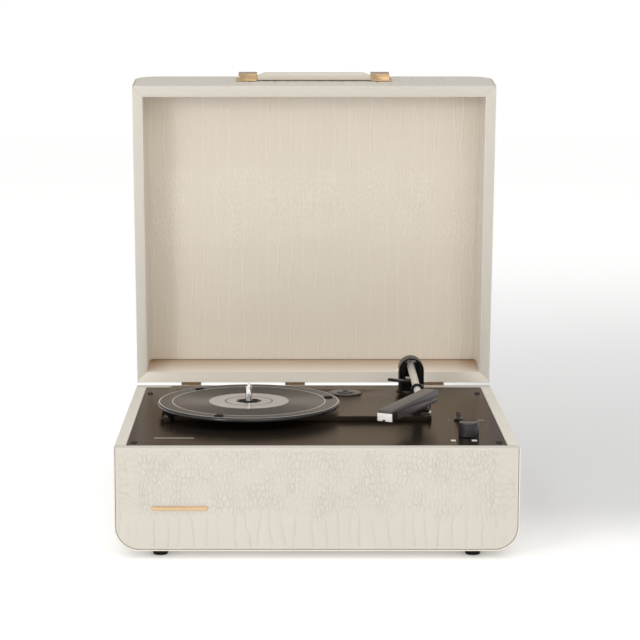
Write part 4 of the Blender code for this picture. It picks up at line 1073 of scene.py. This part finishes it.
# ------------------------------------------------------------------ floor, light and camera
# A white sweep with a soft key light at the front left, a wide warm fill at the front right and an even
# light from above. A soft shadow is painted on the floor to the right of the case.
floor_bm = bmesh.new()
bmesh.ops.create_grid(floor_bm, x_segments=1, y_segments=1, size=6.0)
floor_mesh = bpy.data.meshes.new("floor")
floor_bm.to_mesh(floor_mesh)
floor_bm.free()
floor = bpy.data.objects.new("floor", floor_mesh)
scene.collection.objects.link(floor)
floor_look, floor_tree, floor_shader, floor_node = wired("floor_white")
floor_link = floor_tree.links.new
floor_spot = floor_node("ShaderNodeSeparateXYZ")
floor_link(floor_node("ShaderNodeTexCoord").outputs["Object"], floor_spot.inputs["Vector"])


def faded(axis, start, end):
    """How far the floor has passed from start to end along an axis, eased at both ends."""
    ease = floor_node("ShaderNodeMapRange", interpolation_type="SMOOTHSTEP")
    ease.inputs["From Min"].default_value = start
    ease.inputs["From Max"].default_value = end
    floor_link(floor_spot.outputs[axis], ease.inputs["Value"])
    return ease.outputs["Result"]


# A shadow is painted on the floor beside and behind the case on its right: the floor's colour darkens and
# its glow drops there.
FLOOR_GLOW = 0.21
shade_side = floor_node("ShaderNodeMath", operation="MULTIPLY")
floor_link(faded("X", 0.13, 0.27), shade_side.inputs[0])
floor_link(faded("Y", -0.30, 0.05), shade_side.inputs[1])
shade = floor_node("ShaderNodeMath", operation="MULTIPLY")
floor_link(shade_side.outputs["Value"], shade.inputs[0])
far = floor_node("ShaderNodeMath", operation="SUBTRACT")
far.inputs[0].default_value = 1.0
floor_link(faded("Y", 0.15, 2.6), far.inputs[1])
floor_link(far.outputs["Value"], shade.inputs[1])
floor_tone = floor_node("ShaderNodeMix", data_type="RGBA")
floor_tone.inputs["A"].default_value = (0.92, 0.92, 0.92, 1)
floor_tone.inputs["B"].default_value = (0.75, 0.755, 0.76, 1)
floor_link(shade.outputs["Value"], floor_tone.inputs["Factor"])
floor_link(floor_tone.outputs["Result"], floor_shader.inputs["Base Color"])
floor_glow = floor_node("ShaderNodeMapRange")
floor_glow.inputs["To Min"].default_value = FLOOR_GLOW
floor_glow.inputs["To Max"].default_value = 0.0
floor_link(shade.outputs["Value"], floor_glow.inputs["Value"])
floor_link(floor_glow.outputs["Result"], floor_shader.inputs["Emission Strength"])
floor_shader.inputs["Emission Color"].default_value = (1, 1, 1, 1)
floor_shader.inputs["Roughness"].default_value = 0.6
floor_shader.inputs["Specular IOR Level"].default_value = 0.2
floor_mesh.materials.append(floor_look)

# The room lights the case less than it shows in the view.
ROOM_LIGHT = 0.44
ROOM_SEEN = 1.02
world = bpy.data.worlds.new("studio")
world.use_nodes = True
sky_tree = world.node_tree
background = sky_tree.nodes["Background"]
background.inputs["Color"].default_value = (1.0, 0.995, 0.985, 1)
seen = sky_tree.nodes.new("ShaderNodeLightPath")
level = sky_tree.nodes.new("ShaderNodeMapRange")
level.inputs["To Min"].default_value = ROOM_LIGHT
level.inputs["To Max"].default_value = ROOM_SEEN
sky_tree.links.new(seen.outputs["Is Camera Ray"], level.inputs["Value"])
sky_tree.links.new(level.outputs["Result"], background.inputs["Strength"])
scene.world = world


def lamp(name, kind, place, aim, power, tint, size=None, spread=None):
    data = bpy.data.lights.new(name, kind)
    data.energy = power
    data.color = tint
    if size:
        data.shape = "RECTANGLE"
        data.size, data.size_y = size
    if spread:
        data.angle = math.radians(spread)
    obj = bpy.data.objects.new(name, data)
    obj.location = place
    obj.rotation_euler = (Vector(aim) - Vector(place)).to_track_quat("-Z", "Y").to_euler()
    scene.collection.objects.link(obj)


lamp("key", "AREA", (-1.76, -2.43, 0.95), (0, 0, 0.2), 20, (0.98, 0.99, 1.0), size=(0.7, 0.7))
lamp("fill", "AREA", (0.9, -2.9, 1.5), (0, 0, 0.2), 21, (1.0, 0.93, 0.84), size=(2.4, 1.6))
lamp("overhead", "SUN", (0, -0.3, 3.0), (0, 0, 0), 1.4, (1.0, 1.0, 1.0), spread=90)

camera_data = bpy.data.cameras.new("camera")
camera_data.lens = 122.76
camera_data.shift_x = 0.0472
camera = bpy.data.objects.new("camera", camera_data)
camera.location = (-0.02803, -2.41675, 0.59308)
camera.rotation_euler = (math.pi / 2 - 0.154107, 0, 0)
scene.collection.objects.link(camera)
scene.camera = camera
scene.view_settings.view_transform = "Standard"
